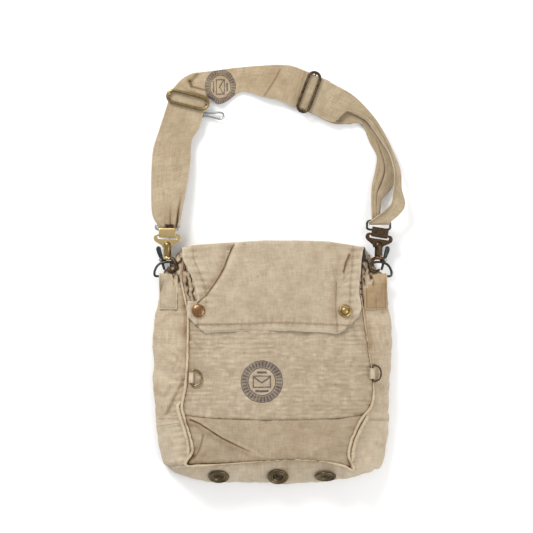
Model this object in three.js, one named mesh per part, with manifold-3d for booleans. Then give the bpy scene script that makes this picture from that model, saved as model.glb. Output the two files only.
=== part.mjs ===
// Small canvas shoulder sack with a buttoned flap and a webbing sling, lying on its back.
// Millimetres, +Z up, +Y from the sack's bottom to its mouth, +X to the right of the front.
// The origin is the middle of the back panel's underside, on the floor.
import * as THREE from 'three';
import { mergeVertices } from 'three/addons/utils/BufferGeometryUtils.js';
import Module from 'manifold-3d';

const wasm = await Module();
wasm.setup();

// Cloth
const canvas = 1.4;
const webbing = 1.6;
const tape = 1.0;
const gap = 0.4;

// The sack: the front seam's outline, the mouth, and how far the gussets bulge past the seam
const seamLeftX = -102;
const seamRightX = 112;
const seamBottomY = -118;
const seamRadius = 14;
const bandTopY = -66;
const gussetTopY = 132;
const frontTopY = 134;
const mouthY = 140;
const frontHeightAtBottom = 42;
const frontHeightAtTop = 27;
const leftBulge = 41;
const rightBulge = 32;
const bottomBulge = 26;
const fullestY = 20;
const gatherY = 84;
const gatheredY = 108;
const mouthTuck = 14;
const rightInset = 6;
const seamStep = 1.2;
const gussetFootZ = 1.1;
const bindingWidth = 3;

// The flap: a gusset strip across the mouth, then the flap itself
const stripHalfWidth = 106;
const stripY = 141.9;
const stripHingeZ = 1.1;
const flapHingeY = 142;
const flapLift = 5.5;
const flapHalfWidthAtHinge = 106;
const flapHalfWidth = 105;
const flapChamferY = 58;
const flapTipHalfWidth = 83;
const flapEndY = 35;

// Hardware places
const snapXs = { left: -89, right: 86 };
const snapY = 61.5;
const ventXs = [-65, 6, 63];
const ringX = 127;
const ringBarY = 103;
const ringZ = 17;
const shankZ = 16;
const hookTilt = THREE.MathUtils.degToRad(30);

const colours = {
  canvas: new THREE.MeshStandardMaterial({ color: 0xb5a47d, roughness: 0.95, metalness: 0 }),
  webbing: new THREE.MeshStandardMaterial({ color: 0xab9a70, roughness: 0.92, metalness: 0 }),
  tape: new THREE.MeshStandardMaterial({ color: 0x9c8558, roughness: 0.95, metalness: 0 }),
  copper: new THREE.MeshStandardMaterial({ color: 0x9a6a4c, roughness: 0.4, metalness: 1 }),
  gold: new THREE.MeshStandardMaterial({ color: 0xc0a060, roughness: 0.35, metalness: 1 }),
  brass: new THREE.MeshStandardMaterial({ color: 0xb08d45, roughness: 0.4, metalness: 1 }),
  bronze: new THREE.MeshStandardMaterial({ color: 0x57452f, roughness: 0.5, metalness: 1 }),
  steel: new THREE.MeshStandardMaterial({ color: 0x8c8a85, roughness: 0.4, metalness: 1 }),
  darkSteel: new THREE.MeshStandardMaterial({ color: 0x4b443b, roughness: 0.5, metalness: 1 }),
};

const { clamp, lerp, smoothstep } = THREE.MathUtils;

// ---------------------------------------------------------------- shape helpers

function mesh(name, geometry, material) {
  const piece = new THREE.Mesh(geometry, material);
  piece.name = name;
  return piece;
}

// A closed slab, `thickness` thick, centred on the sheet that surface(u, v) gives
function panel(columns, rows, thickness, surface) {
  const geometry = new THREE.BoxGeometry(1, 1, 1, columns, rows, 1);
  const corners = geometry.getAttribute('position');
  const step = 1e-3;
  for (let i = 0; i < corners.count; i += 1) {
    const u = corners.getX(i) + 0.5;
    const v = corners.getY(i) + 0.5;
    const alongU = surface(Math.min(u + step, 1), v).sub(surface(Math.max(u - step, 0), v));
    const alongV = surface(u, Math.min(v + step, 1)).sub(surface(u, Math.max(v - step, 0)));
    const outward = alongU.cross(alongV).normalize();
    const point = surface(u, v).addScaledVector(outward, corners.getZ(i) * thickness);
    corners.setXYZ(i, point.x, point.y, point.z);
  }
  return geometry;
}

// A slab whose length runs through the given stops, one column between each two of them
function strip(stops, rows, thickness, surface) {
  const columns = stops.length - 1;
  return panel(columns, rows, thickness, (u, v) => {
    const first = Math.min(Math.floor(u * columns), columns - 1);
    return surface(lerp(stops[first], stops[first + 1], u * columns - first), v);
  });
}

// Stops from one length to another, in equal steps
function steps(from, to, count) {
  return Array.from({ length: count + 1 }, (_, i) => lerp(from, to, i / count));
}

// A flat plate of the given outline, centred on z = 0
function plate(shape, thickness, curveSegments = 8) {
  const geometry = new THREE.ExtrudeGeometry(shape, { depth: thickness, bevelEnabled: false, curveSegments });
  return geometry.translate(0, 0, -thickness / 2);
}

// A round bar on the Z axis, from z = low to z = high
function rod(radius, low, high, sides = 20) {
  const profile = [[0, low], [radius, low], [radius, high], [0, high]];
  return turned(profile, sides);
}

// A ring on the Z axis with a round hole
function washer(outer, inner, low, high, sides = 24) {
  const profile = [[inner, low], [outer, low], [outer, high], [inner, high], [inner, low]];
  return turned(profile, sides);
}

// A lathe turned about Z, from a profile of [radius, z] pairs
function turned(profile, sides) {
  const points = profile.map(([radius, z]) => new THREE.Vector2(radius, z));
  return new THREE.LatheGeometry(points, sides).rotateX(Math.PI / 2);
}

// A closed loop of wire along a flat closed path
function wireLoop(path, wireRadius, steps) {
  const points = path.getSpacedPoints(steps).slice(0, steps);
  const curve = new THREE.CatmullRomCurve3(points.map((p) => new THREE.Vector3(p.x, p.y, 0)), true);
  return new THREE.TubeGeometry(curve, steps, wireRadius, 6, true);
}

// A bent round bar with flat ends, through the given points
function bentBar(points, radius, steps, sides = 10) {
  const section = new THREE.Shape().absarc(0, 0, radius, 0, Math.PI * 2);
  const extrudePath = new THREE.CatmullRomCurve3(points.map((p) => new THREE.Vector3(...p)));
  return new THREE.ExtrudeGeometry(section, { steps, extrudePath, curveSegments: sides / 2 });
}

function toSolid(geometry) {
  const bare = geometry.clone();
  bare.deleteAttribute('normal');
  bare.deleteAttribute('uv');
  const merged = mergeVertices(bare, 1e-4);
  const vertProperties = new Float32Array(merged.getAttribute('position').array);
  const triVerts = new Uint32Array(merged.index.array);
  return new wasm.Manifold(new wasm.Mesh({ numProp: 3, vertProperties, triVerts }));
}

function toGeometry(solid) {
  const result = solid.getMesh();
  const geometry = new THREE.BufferGeometry();
  geometry.setAttribute('position', new THREE.BufferAttribute(result.vertProperties, 3));
  geometry.setIndex(new THREE.BufferAttribute(result.triVerts, 1));
  return geometry;
}

function joined(...geometries) {
  return toGeometry(geometries.map(toSolid).reduce((whole, next) => whole.add(next)));
}

function cut(geometry, ...tools) {
  return toGeometry(tools.map(toSolid).reduce((whole, next) => whole.subtract(next), toSolid(geometry)));
}

// A wire ring's path: straight bar on the X axis, bow reaching to y = depth
function dPath(halfWidth, depth, corner) {
  const path = new THREE.Path();
  path.moveTo(-halfWidth + corner, 0);
  path.lineTo(halfWidth - corner, 0);
  path.quadraticCurveTo(halfWidth, 0, halfWidth, corner);
  path.absellipse(0, corner, halfWidth, depth - corner, 0, Math.PI, false);
  path.quadraticCurveTo(-halfWidth, 0, -halfWidth + corner, 0);
  return path;
}

// A rounded rectangle centred on the origin
function roundedPath(Kind, halfWidth, halfDepth, corner) {
  const path = new Kind();
  path.absarc(halfWidth - corner, halfDepth - corner, corner, 0, Math.PI / 2, false);
  path.absarc(-halfWidth + corner, halfDepth - corner, corner, Math.PI / 2, Math.PI, false);
  path.absarc(-halfWidth + corner, -halfDepth + corner, corner, Math.PI, Math.PI * 1.5, false);
  path.absarc(halfWidth - corner, -halfDepth + corner, corner, Math.PI * 1.5, Math.PI * 2, false);
  path.closePath();
  return path;
}

// ---------------------------------------------------------------- the sack

const seamSide = gussetTopY - seamBottomY - seamRadius;
const seamArc = seamRadius * Math.PI / 2;
const seamBottom = seamRightX - seamLeftX - 2 * seamRadius;
const seamLength = 2 * seamSide + 2 * seamArc + seamBottom;
const bandStart = gussetTopY - bandTopY;

// Height of the front cloth above the floor
function frontHeight(y) {
  const share = (y - seamBottomY) / (frontTopY - seamBottomY);
  return lerp(frontHeightAtBottom, frontHeightAtTop, share);
}

// How far the right seam is drawn in where the mouth is gathered
function inset(y) {
  return rightInset * smoothstep(y, gatherY, gatherY + 16);
}

const frontSlope = Math.atan((frontHeightAtTop - frontHeightAtBottom) / (frontTopY - seamBottomY));

// The front seam in plan: down the left side, across the bottom and up the right side
function seamPoint(distance) {
  const firstTurn = clamp((distance - seamSide) / seamRadius, 0, Math.PI / 2);
  const secondTurn = clamp((distance - seamSide - seamArc - seamBottom) / seamRadius, 0, Math.PI / 2);
  const angle = Math.PI + firstTurn + secondTurn;
  const outX = Math.cos(angle);
  const outY = Math.sin(angle);
  const centreX = seamLeftX + seamRadius + clamp(distance - seamSide - seamArc, 0, seamBottom);
  const leftRise = Math.max(seamSide - distance, 0);
  const rightRise = Math.max(distance - seamSide - 2 * seamArc - seamBottom, 0);
  const centreY = seamBottomY + seamRadius + leftRise + rightRise;
  const y = centreY + seamRadius * outY;
  const drawnIn = outX > 0 ? inset(y) : 0;
  return { x: centreX + seamRadius * outX - drawnIn, y, outX, outY };
}

// Places where cloth along the seam needs a corner, from its left end to its right end
function seamStops() {
  const gathers = steps(gussetTopY, gatherY, 8).map((y) => gussetTopY - y);
  const down = steps(gussetTopY - gatherY + 20, bandStart, 6);
  const turn = steps(seamSide, seamSide + seamArc, 6);
  const left = [...gathers, ...down, bandStart + 20, ...turn];
  return [...left, ...left.map((distance) => seamLength - distance).reverse()];
}

// The seam's stops that lie between two distances, with those two
function stopsBetween(from, to) {
  return [from, ...seamStops().filter((stop) => stop > from + 1 && stop < to - 1), to];
}

// How far the gusset's foot lies outside the front seam
function footOffset(at) {
  const side = at.outX < 0 ? 10 : 0;
  return side * at.outX ** 2 + 10 * at.outY ** 2;
}

// The gusset's section at a place on the seam: a bulge from the front seam down to its foot
function gussetPoint(distance, across) {
  const at = seamPoint(distance);
  const side = at.outX < 0 ? leftBulge : rightBulge;
  const reach = at.y > fullestY ? 150 : 195;
  const sideBulge = side * (1 - ((at.y - fullestY) / reach) ** 2);
  const full = sideBulge * at.outX ** 2 + bottomBulge * at.outY ** 2;
  const gathered = smoothstep(at.y, gatherY, gatheredY);
  const foot = footOffset(at) + seamStep + 1.2 * gathered;
  const top = frontHeight(at.y);
  const section = new THREE.CubicBezierCurve(
    new THREE.Vector2(seamStep + gathered, top),
    new THREE.Vector2(lerp(0.85 * full, -mouthTuck, gathered), lerp(0.52, 0.15, gathered) * top),
    new THREE.Vector2(lerp(1.69 * full, foot, gathered), lerp(gussetFootZ, 14, gathered)),
    new THREE.Vector2(foot, gussetFootZ),
  );
  const point = section.getPoint(across);
  return new THREE.Vector3(at.x + at.outX * point.x, at.y + at.outY * point.x, point.y);
}

// Frame of a place on the gusset, with its Z axis pointing out of the sack
function gussetFrame(distance, across) {
  const step = 1e-3;
  const alongU = gussetPoint(distance + step, across).sub(gussetPoint(distance - step, across));
  const alongV = gussetPoint(distance, across + step).sub(gussetPoint(distance, across - step));
  const out = alongV.cross(alongU).normalize();
  const frame = new THREE.Group();
  frame.position.copy(gussetPoint(distance, across));
  frame.quaternion.setFromUnitVectors(new THREE.Vector3(0, 0, 1), out.z < 0 ? out.negate() : out);
  return frame;
}

function gusset(name, from, to) {
  return mesh(name, strip(stopsBetween(from, to), 7, canvas, gussetPoint), colours.canvas);
}

// The seam's outline between two distances, moved outward by offset(place)
function seamOutline(from, to, offset) {
  return stopsBetween(from, to).map((distance) => {
    const at = seamPoint(distance);
    return new THREE.Vector2(at.x + at.outX * offset(at), at.y + at.outY * offset(at));
  });
}

// A flat slab of cloth laid on the sloping front
function onFront(geometry) {
  const corners = geometry.getAttribute('position');
  for (let i = 0; i < corners.count; i += 1) {
    corners.setZ(i, corners.getZ(i) + frontHeight(corners.getY(i)));
  }
  return geometry;
}

function backPanel() {
  const outline = seamOutline(0, seamLength, (at) => footOffset(at) + seamStep - bindingWidth - 2 * gap);
  const left = outline[0];
  const right = outline[outline.length - 1];
  const corners = [...outline, new THREE.Vector2(right.x, mouthY), new THREE.Vector2(left.x, mouthY)];
  const geometry = plate(new THREE.Shape(corners), canvas).translate(0, 0, canvas / 2);
  return mesh('back_panel', geometry, colours.canvas);
}

function frontPanel() {
  const lowY = bandTopY + gap;
  const geometry = panel(1, 24, canvas, (u, v) => {
    const y = lerp(lowY, frontTopY, v);
    return new THREE.Vector3(lerp(seamLeftX, seamRightX - inset(y), u), y, frontHeight(y));
  });
  return mesh('front_panel', geometry, colours.canvas);
}

function frontBand() {
  const outline = seamOutline(bandStart, seamLength - bandStart, () => 0);
  return mesh('front_band', onFront(plate(new THREE.Shape(outline), canvas)), colours.canvas);
}

function frontSeamBinding() {
  const height = 3;
  const geometry = strip(stopsBetween(0, seamLength), 1, height, (distance, v) => {
    const at = seamPoint(distance);
    const out = lerp(-0.6, 1.8, v);
    const z = frontHeight(at.y) + canvas / 2 + gap + height / 2;
    return new THREE.Vector3(at.x + at.outX * out, at.y + at.outY * out, z);
  });
  return mesh('front_seam_binding', geometry, colours.tape);
}

function backSeamBinding() {
  const height = 2.6;
  const geometry = strip(stopsBetween(0, seamLength), 1, height, (distance, v) => {
    const at = seamPoint(distance);
    const out = footOffset(at) + seamStep - gap - bindingWidth * (1 - v);
    return new THREE.Vector3(at.x + at.outX * out, at.y + at.outY * out, 0.3 + height / 2);
  });
  return mesh('back_seam_binding', geometry, colours.tape);
}

// ---------------------------------------------------------------- the flap

function flapTop() {
  const height = frontHeight(flapHingeY) + flapLift - canvas / 2 - gap - 0.6;
  const geometry = new THREE.BoxGeometry(2 * stripHalfWidth, canvas, height);
  geometry.translate(0, stripY, 0.6 + height / 2);
  return mesh('flap_top', geometry, colours.canvas);
}

function flap() {
  const outline = new THREE.Shape();
  outline.moveTo(-flapHalfWidthAtHinge, flapHingeY + canvas / 2);
  outline.lineTo(-flapHalfWidth, flapChamferY);
  outline.lineTo(-flapTipHalfWidth, flapEndY);
  outline.lineTo(flapTipHalfWidth, flapEndY);
  outline.lineTo(flapHalfWidth, flapChamferY);
  outline.lineTo(flapHalfWidthAtHinge, flapHingeY + canvas / 2);
  const geometry = onFront(plate(outline, canvas)).translate(0, 0, flapLift);
  return mesh('flap', geometry, colours.canvas);
}

// One press stud: cap and socket on the flap, stud and its inner post on the front panel
function pressStud(side, material) {
  const group = new THREE.Group();
  group.position.set(snapXs[side], snapY, frontHeight(snapY));
  group.rotation.x = frontSlope;
  const top = canvas / 2;
  const cap = [[0, 5.8], [7.2, 5.8], [7.7, 6.4], [7.5, 7.2], [6.2, 8.1], [3.6, 8.7], [0, 8.9]];
  const knob = [[0, 0.3], [4.6, 0.3], [4.6, 1.1], [1.7, 1.1], [1.5, 1.9], [2.2, 2.7], [1.9, 3.3], [0, 3.4]];
  group.add(
    mesh(`snap_cap_${side}`, turned(cap, 24).translate(0, 0, top), material),
    mesh(`snap_socket_${side}`, washer(5.5, 2.6, 1.5 + top, 3.7 + top, 20), colours.brass),
    mesh(`snap_stud_${side}`, turned(knob, 16).translate(0, 0, top), colours.brass),
    mesh(`snap_post_${side}`, rod(5, -top - 1.2, -top - 0.3, 16), colours.brass),
  );
  return group;
}

// ---------------------------------------------------------------- vents in the bottom gusset

const ventAcross = 0.31;
const ventBore = 5.7;

function ventDistance(x) {
  return seamSide + seamArc + (x - seamLeftX - seamRadius);
}

function bottomGusset() {
  const body = gusset('bottom_gusset', bandStart + gap / 2, seamLength - bandStart - gap / 2);
  const drills = ventXs.map((x) => {
    const frame = gussetFrame(ventDistance(x), ventAcross);
    frame.updateMatrixWorld();
    return rod(ventBore, -6, 6, 16).applyMatrix4(frame.matrixWorld);
  });
  body.geometry = cut(body.geometry, ...drills);
  return body;
}

function vent(x, number) {
  const frame = gussetFrame(ventDistance(x), ventAcross);
  const rim = [[ventBore, 1.2], [12, 1.2], [12.2, 1.7], [11, 2.6], [8, 3], [6.2, 2.6], [ventBore, 1.2]];
  frame.add(
    mesh(`vent_grommet_${number}`, turned(rim, 24), colours.bronze),
    mesh(`vent_screen_${number}`, rod(ventBore - 0.4, 1.3, 1.9, 16), colours.darkSteel),
    mesh(`vent_washer_${number}`, washer(11, ventBore, -4.4, -3.4, 24), colours.bronze),
  );
  return frame;
}

// ---------------------------------------------------------------- small rings at mid-height

// A small D-ring on a folded tab of tape; +X runs from the seam along the cloth, Z out of it
function smallRing(side, tabLength) {
  const group = new THREE.Group();
  const wireRadius = 1.1;
  const loopRadius = wireRadius + 0.3 + tape / 2;
  const length = tabLength + Math.PI * loopRadius + tabLength;
  const stops = [0, ...steps(tabLength, length - tabLength, 8), length];
  const tab = strip(stops, 1, tape, (run, v) => {
    const y = lerp(6.5, -6.5, v);
    if (run < tabLength) {
      return new THREE.Vector3(run - tabLength, y, -loopRadius);
    }
    if (run > length - tabLength) {
      return new THREE.Vector3(length - tabLength - run, y, loopRadius);
    }
    const angle = (run - tabLength) / loopRadius;
    return new THREE.Vector3(Math.sin(angle) * loopRadius, y, -Math.cos(angle) * loopRadius);
  });
  const ring = wireLoop(dPath(9.5, 11, 2.5), wireRadius, 32).rotateZ(-Math.PI / 2);
  group.add(
    mesh(`small_ring_tab_${side}`, tab, colours.tape),
    mesh(`small_ring_${side}`, ring, side === 'left' ? colours.steel : colours.bronze),
  );
  return group;
}

// ---------------------------------------------------------------- tabs and D-rings for the sling

const ringWire = 1.5;
const tabLoopRadius = ringWire + 0.3 + canvas / 2;
const tabHalfWidth = 10.5;

// A folded tab: it lies on the gusset, lifts off towards the mouth and turns round the bar
function ringTab(side, sign) {
  const patchY = 64;
  const underLength = 2;
  const upperLength = ringBarY - patchY;
  const length = upperLength + Math.PI * tabLoopRadius + underLength;
  const stops = [...steps(0, upperLength, 9), ...steps(upperLength, length - underLength, 8).slice(1), length];
  const geometry = strip(stops, 4, canvas, (run, v) => {
    const x = sign * (ringX - 1) + lerp(-tabHalfWidth, tabHalfWidth, v);
    if (run <= upperLength) {
      const y = patchY + run;
      const from = gussetTopY - Math.min(y, gatherY);
      const across = lerp(0.07, 0.42, sign < 0 ? 1 - v : v);
      const patch = gussetFrame(sign < 0 ? from : seamLength - from, across);
      const lift = new THREE.Vector3(0, 0, canvas + gap).applyQuaternion(patch.quaternion);
      const lying = patch.position.add(lift).setY(y);
      const level = new THREE.Vector3(x, y, ringZ + tabLoopRadius);
      return lying.lerp(level, smoothstep(y, gatherY + 2, ringBarY - 1));
    }
    if (run >= length - underLength) {
      return new THREE.Vector3(x, ringBarY - (run - length + underLength), ringZ - tabLoopRadius);
    }
    const angle = (run - upperLength) / tabLoopRadius;
    const y = ringBarY + Math.sin(angle) * tabLoopRadius;
    return new THREE.Vector3(x, y, ringZ + Math.cos(angle) * tabLoopRadius);
  });
  return mesh(`ring_tab_${side}`, geometry, colours.tape);
}

function dRing(side, sign) {
  const geometry = wireLoop(dPath(15.5, 17, 3.5), ringWire, 40);
  geometry.translate(sign * ringX, ringBarY, ringZ);
  return mesh(`d_ring_${side}`, geometry, colours.darkSteel);
}

// ---------------------------------------------------------------- swivel hooks
// Each hook's frame has its origin above the D-ring's bar, +Y along the shank towards the
// strap and +X towards the sack's middle; the right hook is the left one mirrored.

const leverPivot = { x: -7.8, y: 19.5 };
const strapRingNear = 55.5;
const strapRingFar = 67;

function snapHook(side, material) {
  const jaw = bentBar([[1, 22, 0], [8.5, 19, 0], [12, 13, 0], [10.5, 8.2, 0], [4.5, 6.2, 0], [-1, 8, 0]], 2.1, 22);
  const collar = rod(4.6, -23.6, -20.5, 20).rotateX(Math.PI / 2);
  const post = rod(1.9, -33, -21, 16).rotateX(Math.PI / 2);
  const ears = [-1, 1].map((way) => {
    const outline = new THREE.Shape();
    outline.moveTo(-1, 21);
    outline.lineTo(-1, 23.4);
    outline.lineTo(leverPivot.x, leverPivot.y + 2.6);
    outline.absarc(leverPivot.x, leverPivot.y, 2.6, Math.PI / 2, Math.PI * 1.6, false);
    return plate(outline, 1.2).translate(0, 0, way * 2.2);
  });
  const pinHole = rod(1.3, -4, 4, 12).translate(leverPivot.x, leverPivot.y, 0);
  return mesh(`snap_hook_${side}`, cut(joined(jaw, collar, post, ...ears), pinHole), material);
}

function hookLever(side) {
  const pivot = [leverPivot.x, leverPivot.y];
  const outline = new THREE.Shape();
  outline.absarc(pivot[0], pivot[1], 2.4, Math.PI * 1.9, Math.PI * 2.15, false);
  outline.absarc(-12.5, 33, 3.2, Math.PI * 1.95, Math.PI * 2.95, false);
  outline.absarc(pivot[0], pivot[1], 2.4, Math.PI * 0.9, Math.PI * 1.1, false);
  outline.absarc(-4.3, 7.6, 1.3, Math.PI * 1.05, Math.PI * 2.05, false);
  const hole = new THREE.Path().absarc(pivot[0], pivot[1], 1.3, 0, Math.PI * 2, true);
  outline.holes.push(hole);
  return mesh(`hook_lever_${side}`, plate(outline, 2.4), colours.bronze);
}

function leverPin(side) {
  const profile = [[0, -3.9], [1.8, -3.9], [1.8, -3.1], [1, -3.1], [1, 3.1], [1.8, 3.1], [1.8, 3.9], [0, 3.9]];
  const geometry = turned(profile, 14).translate(leverPivot.x, leverPivot.y, 0);
  return mesh(`lever_pin_${side}`, geometry, colours.steel);
}

function swivelHead(side, material) {
  const barrel = [[0, 24], [4.6, 24], [4.6, 37], [4.1, 39.2], [2.6, 40.6], [0, 41]];
  const body = turned(barrel.reverse().map(([radius, y]) => [radius, -y]), 22).rotateX(Math.PI / 2);
  const outline = new THREE.Shape();
  outline.moveTo(-5.5, 34);
  outline.lineTo(5.5, 34);
  outline.quadraticCurveTo(14, 37, 15.5, 41);
  outline.lineTo(15.5, 48.5);
  outline.lineTo(14, 50);
  outline.lineTo(-14, 50);
  outline.lineTo(-15.5, 48.5);
  outline.lineTo(-15.5, 41);
  outline.quadraticCurveTo(-14, 37, -5.5, 34);
  const slot = plate(roundedPath(THREE.Shape, 11.2, 2, 1.9), 8).translate(0, 46.7, 0);
  const bore = rod(2.3, -35, -20, 16).rotateX(Math.PI / 2);
  return mesh(`swivel_head_${side}`, cut(joined(body, plate(outline, 2.4)), slot, bore), material);
}

function linkPlate(side) {
  const near = 49.6;
  const half = (strapRingNear - near) / 2;
  const outline = roundedPath(THREE.Shape, half + 2.8, 2.8, 2.79);
  outline.holes.push(roundedPath(THREE.Path, half + 1.9, 1.9, 1.89));
  const geometry = plate(outline, 20, 5).rotateZ(Math.PI / 2).rotateY(Math.PI / 2);
  return mesh(`link_plate_${side}`, geometry.translate(0, near + half, 0), colours.brass);
}

function strapRing(side) {
  const depth = (strapRingFar - strapRingNear) / 2;
  const geometry = wireLoop(roundedPath(THREE.Path, 13.5, depth, 2.4), 1.4, 36);
  return mesh(`strap_ring_${side}`, geometry.translate(0, strapRingNear + depth, 0), colours.steel);
}

function hookSet(side, sign, material) {
  const set = new THREE.Group();
  set.position.set(sign * ringX, ringBarY, shankZ);
  set.scale.x = -sign;
  const tilted = new THREE.Group();
  tilted.rotation.y = -hookTilt;
  tilted.add(snapHook(side, material), hookLever(side), leverPin(side));
  set.add(tilted, swivelHead(side, material), linkPlate(side), strapRing(side));
  return set;
}

// ---------------------------------------------------------------- the webbing sling

const strapHalfWidth = 22.5;
const strapLoopRadius = 1.4 + gap + webbing / 2;
const upperLayerZ = 8.5;
const lowerLayerZ = 1.1;

function onFloor([x, y]) {
  return new THREE.Vector3(x, y, 0);
}

const leftRoute = new THREE.CatmullRomCurve3([
  [-127, 170], [-126, 192], [-124.8, 220], [-123, 242], [-117.8, 258],
  [-112.9, 274.4], [-108, 294], [-103.2, 313.2], [-99.8, 326.8],
].map(onFloor));

const rightRoute = new THREE.CatmullRomCurve3([
  [127, 170], [131, 186], [136, 205], [137, 226], [132, 250], [121, 274],
  [102, 296], [77.8, 311.4], [60, 318.2], [43.2, 324.6], [17, 334.6],
].map(onFloor));

// A leg of the sling: doubled webbing that runs through the strap ring
function strapLeg(name, route, lowerLength) {
  const upperLength = route.getLength() - 2 * gap;
  const turnLength = Math.PI * strapLoopRadius;
  const length = upperLength + turnLength + lowerLength;
  const turnEnd = upperLength + turnLength;
  const stops = [...steps(0, upperLength, 24), ...steps(upperLength, turnEnd, 8).slice(1),
    ...steps(turnEnd, length, 24).slice(1)];
  const geometry = strip(stops, 1, webbing, (run, v) => {
    const upper = run < upperLength;
    const turning = !upper && run < turnEnd;
    const angle = turning ? (run - upperLength) / strapLoopRadius : 0;
    const away = turning ? 0 : Math.abs(upper ? upperLength - run : run - turnEnd);
    const share = away / route.getLength();
    const centre = route.getPointAt(share);
    const along = turning || away < 1 ? new THREE.Vector3(0, 1, 0) : route.getTangentAt(share);
    const half = lerp(10.5, strapHalfWidth, smoothstep(away, 0, 45)) * lerp(-1, 1, v);
    const fall = smoothstep(away, 4, 92);
    const level = upper ? lerp(strapLoopRadius, upperLayerZ - shankZ, fall)
      : lerp(-strapLoopRadius, lowerLayerZ - shankZ, fall);
    const z = shankZ + (turning ? Math.cos(angle) * strapLoopRadius : level);
    const back = turning ? -Math.sin(angle) * strapLoopRadius : 0;
    const x = centre.x + along.x * back + along.y * half;
    const y = centre.y + along.y * back - along.x * half;
    return new THREE.Vector3(x, y, z);
  });
  return mesh(name, geometry, colours.webbing);
}

// The edge of a leg's end, on the side given by sign, a gap beyond it
function legCorner(route, sign) {
  const end = route.getPointAt(1);
  const along = route.getTangentAt(1);
  const across = new THREE.Vector3(along.y, -along.x, 0);
  return end.addScaledVector(across, sign * strapHalfWidth);
}

// The shoulder part, a ribbon between its two edges that sinks to the floor between the legs
function strapShoulder() {
  const outer = new THREE.CatmullRomCurve3([
    legCorner(leftRoute, -1),
    ...[[-107, 342], [-91, 348.6], [-56.8, 354.8], [-22, 357], [8.4, 358]].map(onFloor),
    legCorner(rightRoute, 1),
  ]);
  const inner = new THREE.CatmullRomCurve3([
    legCorner(leftRoute, 1),
    ...[[-71, 320.4], [-56.8, 319], [-39.6, 320], [-22, 319.6], [-10.8, 317.6]].map(onFloor),
    legCorner(rightRoute, -1),
  ]);
  const geometry = panel(24, 2, webbing, (u, v) => {
    const point = outer.getPoint(u).lerp(inner.getPoint(u), v);
    const sunk = smoothstep(u, 0, 0.3) - smoothstep(u, 0.7, 1);
    point.z = lerp(upperLayerZ, lowerLayerZ + 0.2, sunk);
    return point;
  });
  return mesh('strap_shoulder', geometry, colours.webbing);
}

// An oval slider with its centre bar, the sewn strap end round the bar, in a frame whose
// +Y runs along the strap away from the strap ring
function sliderSet(side, x, y, alongX, alongY) {
  const group = new THREE.Group();
  group.position.set(x, y, 0);
  group.rotation.z = Math.atan2(-alongX, alongY);
  const frameZ = 10.9;
  const barZ = 4.8;
  const reach = 24.9;
  const oval = wireLoop(roundedPath(THREE.Path, reach, 7, 6.9), 1.3, 44).translate(0, 0, frameZ);
  const posts = [-1, 1].map((way) => rod(1.2, barZ - 1, frameZ, 10).translate(way * reach, 0, 0));
  const bar = rod(1.1, -reach, reach, 12).rotateY(Math.PI / 2).translate(0, 0, barZ);
  group.add(mesh(`strap_slider_${side}`, joined(oval, bar, ...posts), colours.brass));

  const thickness = 1.2;
  const loopRadius = 1.1 + 0.3 + thickness / 2;
  const tail = 20;
  const length = 2 * tail + Math.PI * loopRadius;
  const stops = [0, ...steps(tail, length - tail, 8), length];
  const sewnEnd = strip(stops, 1, thickness, (run, v) => {
    const across = lerp(strapHalfWidth, -strapHalfWidth, v);
    if (run < tail) {
      return new THREE.Vector3(across, run - tail, barZ - loopRadius);
    }
    if (run > length - tail) {
      return new THREE.Vector3(across, length - tail - run, barZ + loopRadius);
    }
    const angle = (run - tail) / loopRadius;
    return new THREE.Vector3(across, Math.sin(angle) * loopRadius, barZ - Math.cos(angle) * loopRadius);
  });
  group.add(mesh(`strap_end_${side}`, sewnEnd, colours.webbing));
  return group;
}

// The spare wire hook caught between the layers of the left strap end
function wireHook() {
  const points = [[8, -14.5, 4.8], [20, -11, 4.8], [34, -7.5, 4.8], [42, -4.8, 4.8],
    [45.5, -6.6, 4.8], [44.6, -10.4, 4.8], [40, -11.8, 4.8]];
  return mesh('wire_hook', bentBar(points, 1.1, 24, 8), colours.steel);
}

// ---------------------------------------------------------------- assembly

const group = new THREE.Group();
group.add(
  backPanel(),
  frontPanel(),
  frontBand(),
  gusset('left_gusset', 0, bandStart - gap / 2),
  gusset('right_gusset', seamLength - bandStart + gap / 2, seamLength),
  bottomGusset(),
  frontSeamBinding(),
  backSeamBinding(),
  flapTop(),
  flap(),
  pressStud('left', colours.copper),
  pressStud('right', colours.gold),
);
ventXs.forEach((x, i) => group.add(vent(x, i + 1)));

const leftSmallRing = smallRing('left', 2.6);
leftSmallRing.position.set(-97, -18, frontHeight(-18) + 3.5);
leftSmallRing.rotation.x = frontSlope;
const rightSmallRing = smallRing('right', 4);
rightSmallRing.position.set(119, -13, frontHeight(-13) + 1.6);
rightSmallRing.rotation.y = THREE.MathUtils.degToRad(22);
group.add(leftSmallRing, rightSmallRing);

group.add(
  ringTab('left', -1),
  ringTab('right', 1),
  dRing('left', -1),
  dRing('right', 1),
  hookSet('left', -1, colours.brass),
  hookSet('right', 1, colours.bronze),
  strapLeg('strap_left_leg', leftRoute, 148),
  strapLeg('strap_right_leg', rightRoute, 206),
  strapShoulder(),
);
const leftSlider = sliderSet('left', -103.2, 313.2, 0.242, 0.970);
leftSlider.add(wireHook());
group.add(leftSlider, sliderSet('right', 43.2, 324.6, -0.934, 0.358));

export default group;
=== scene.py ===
import math

import bmesh
import bpy
from mathutils import Matrix, Vector, noise


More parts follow.
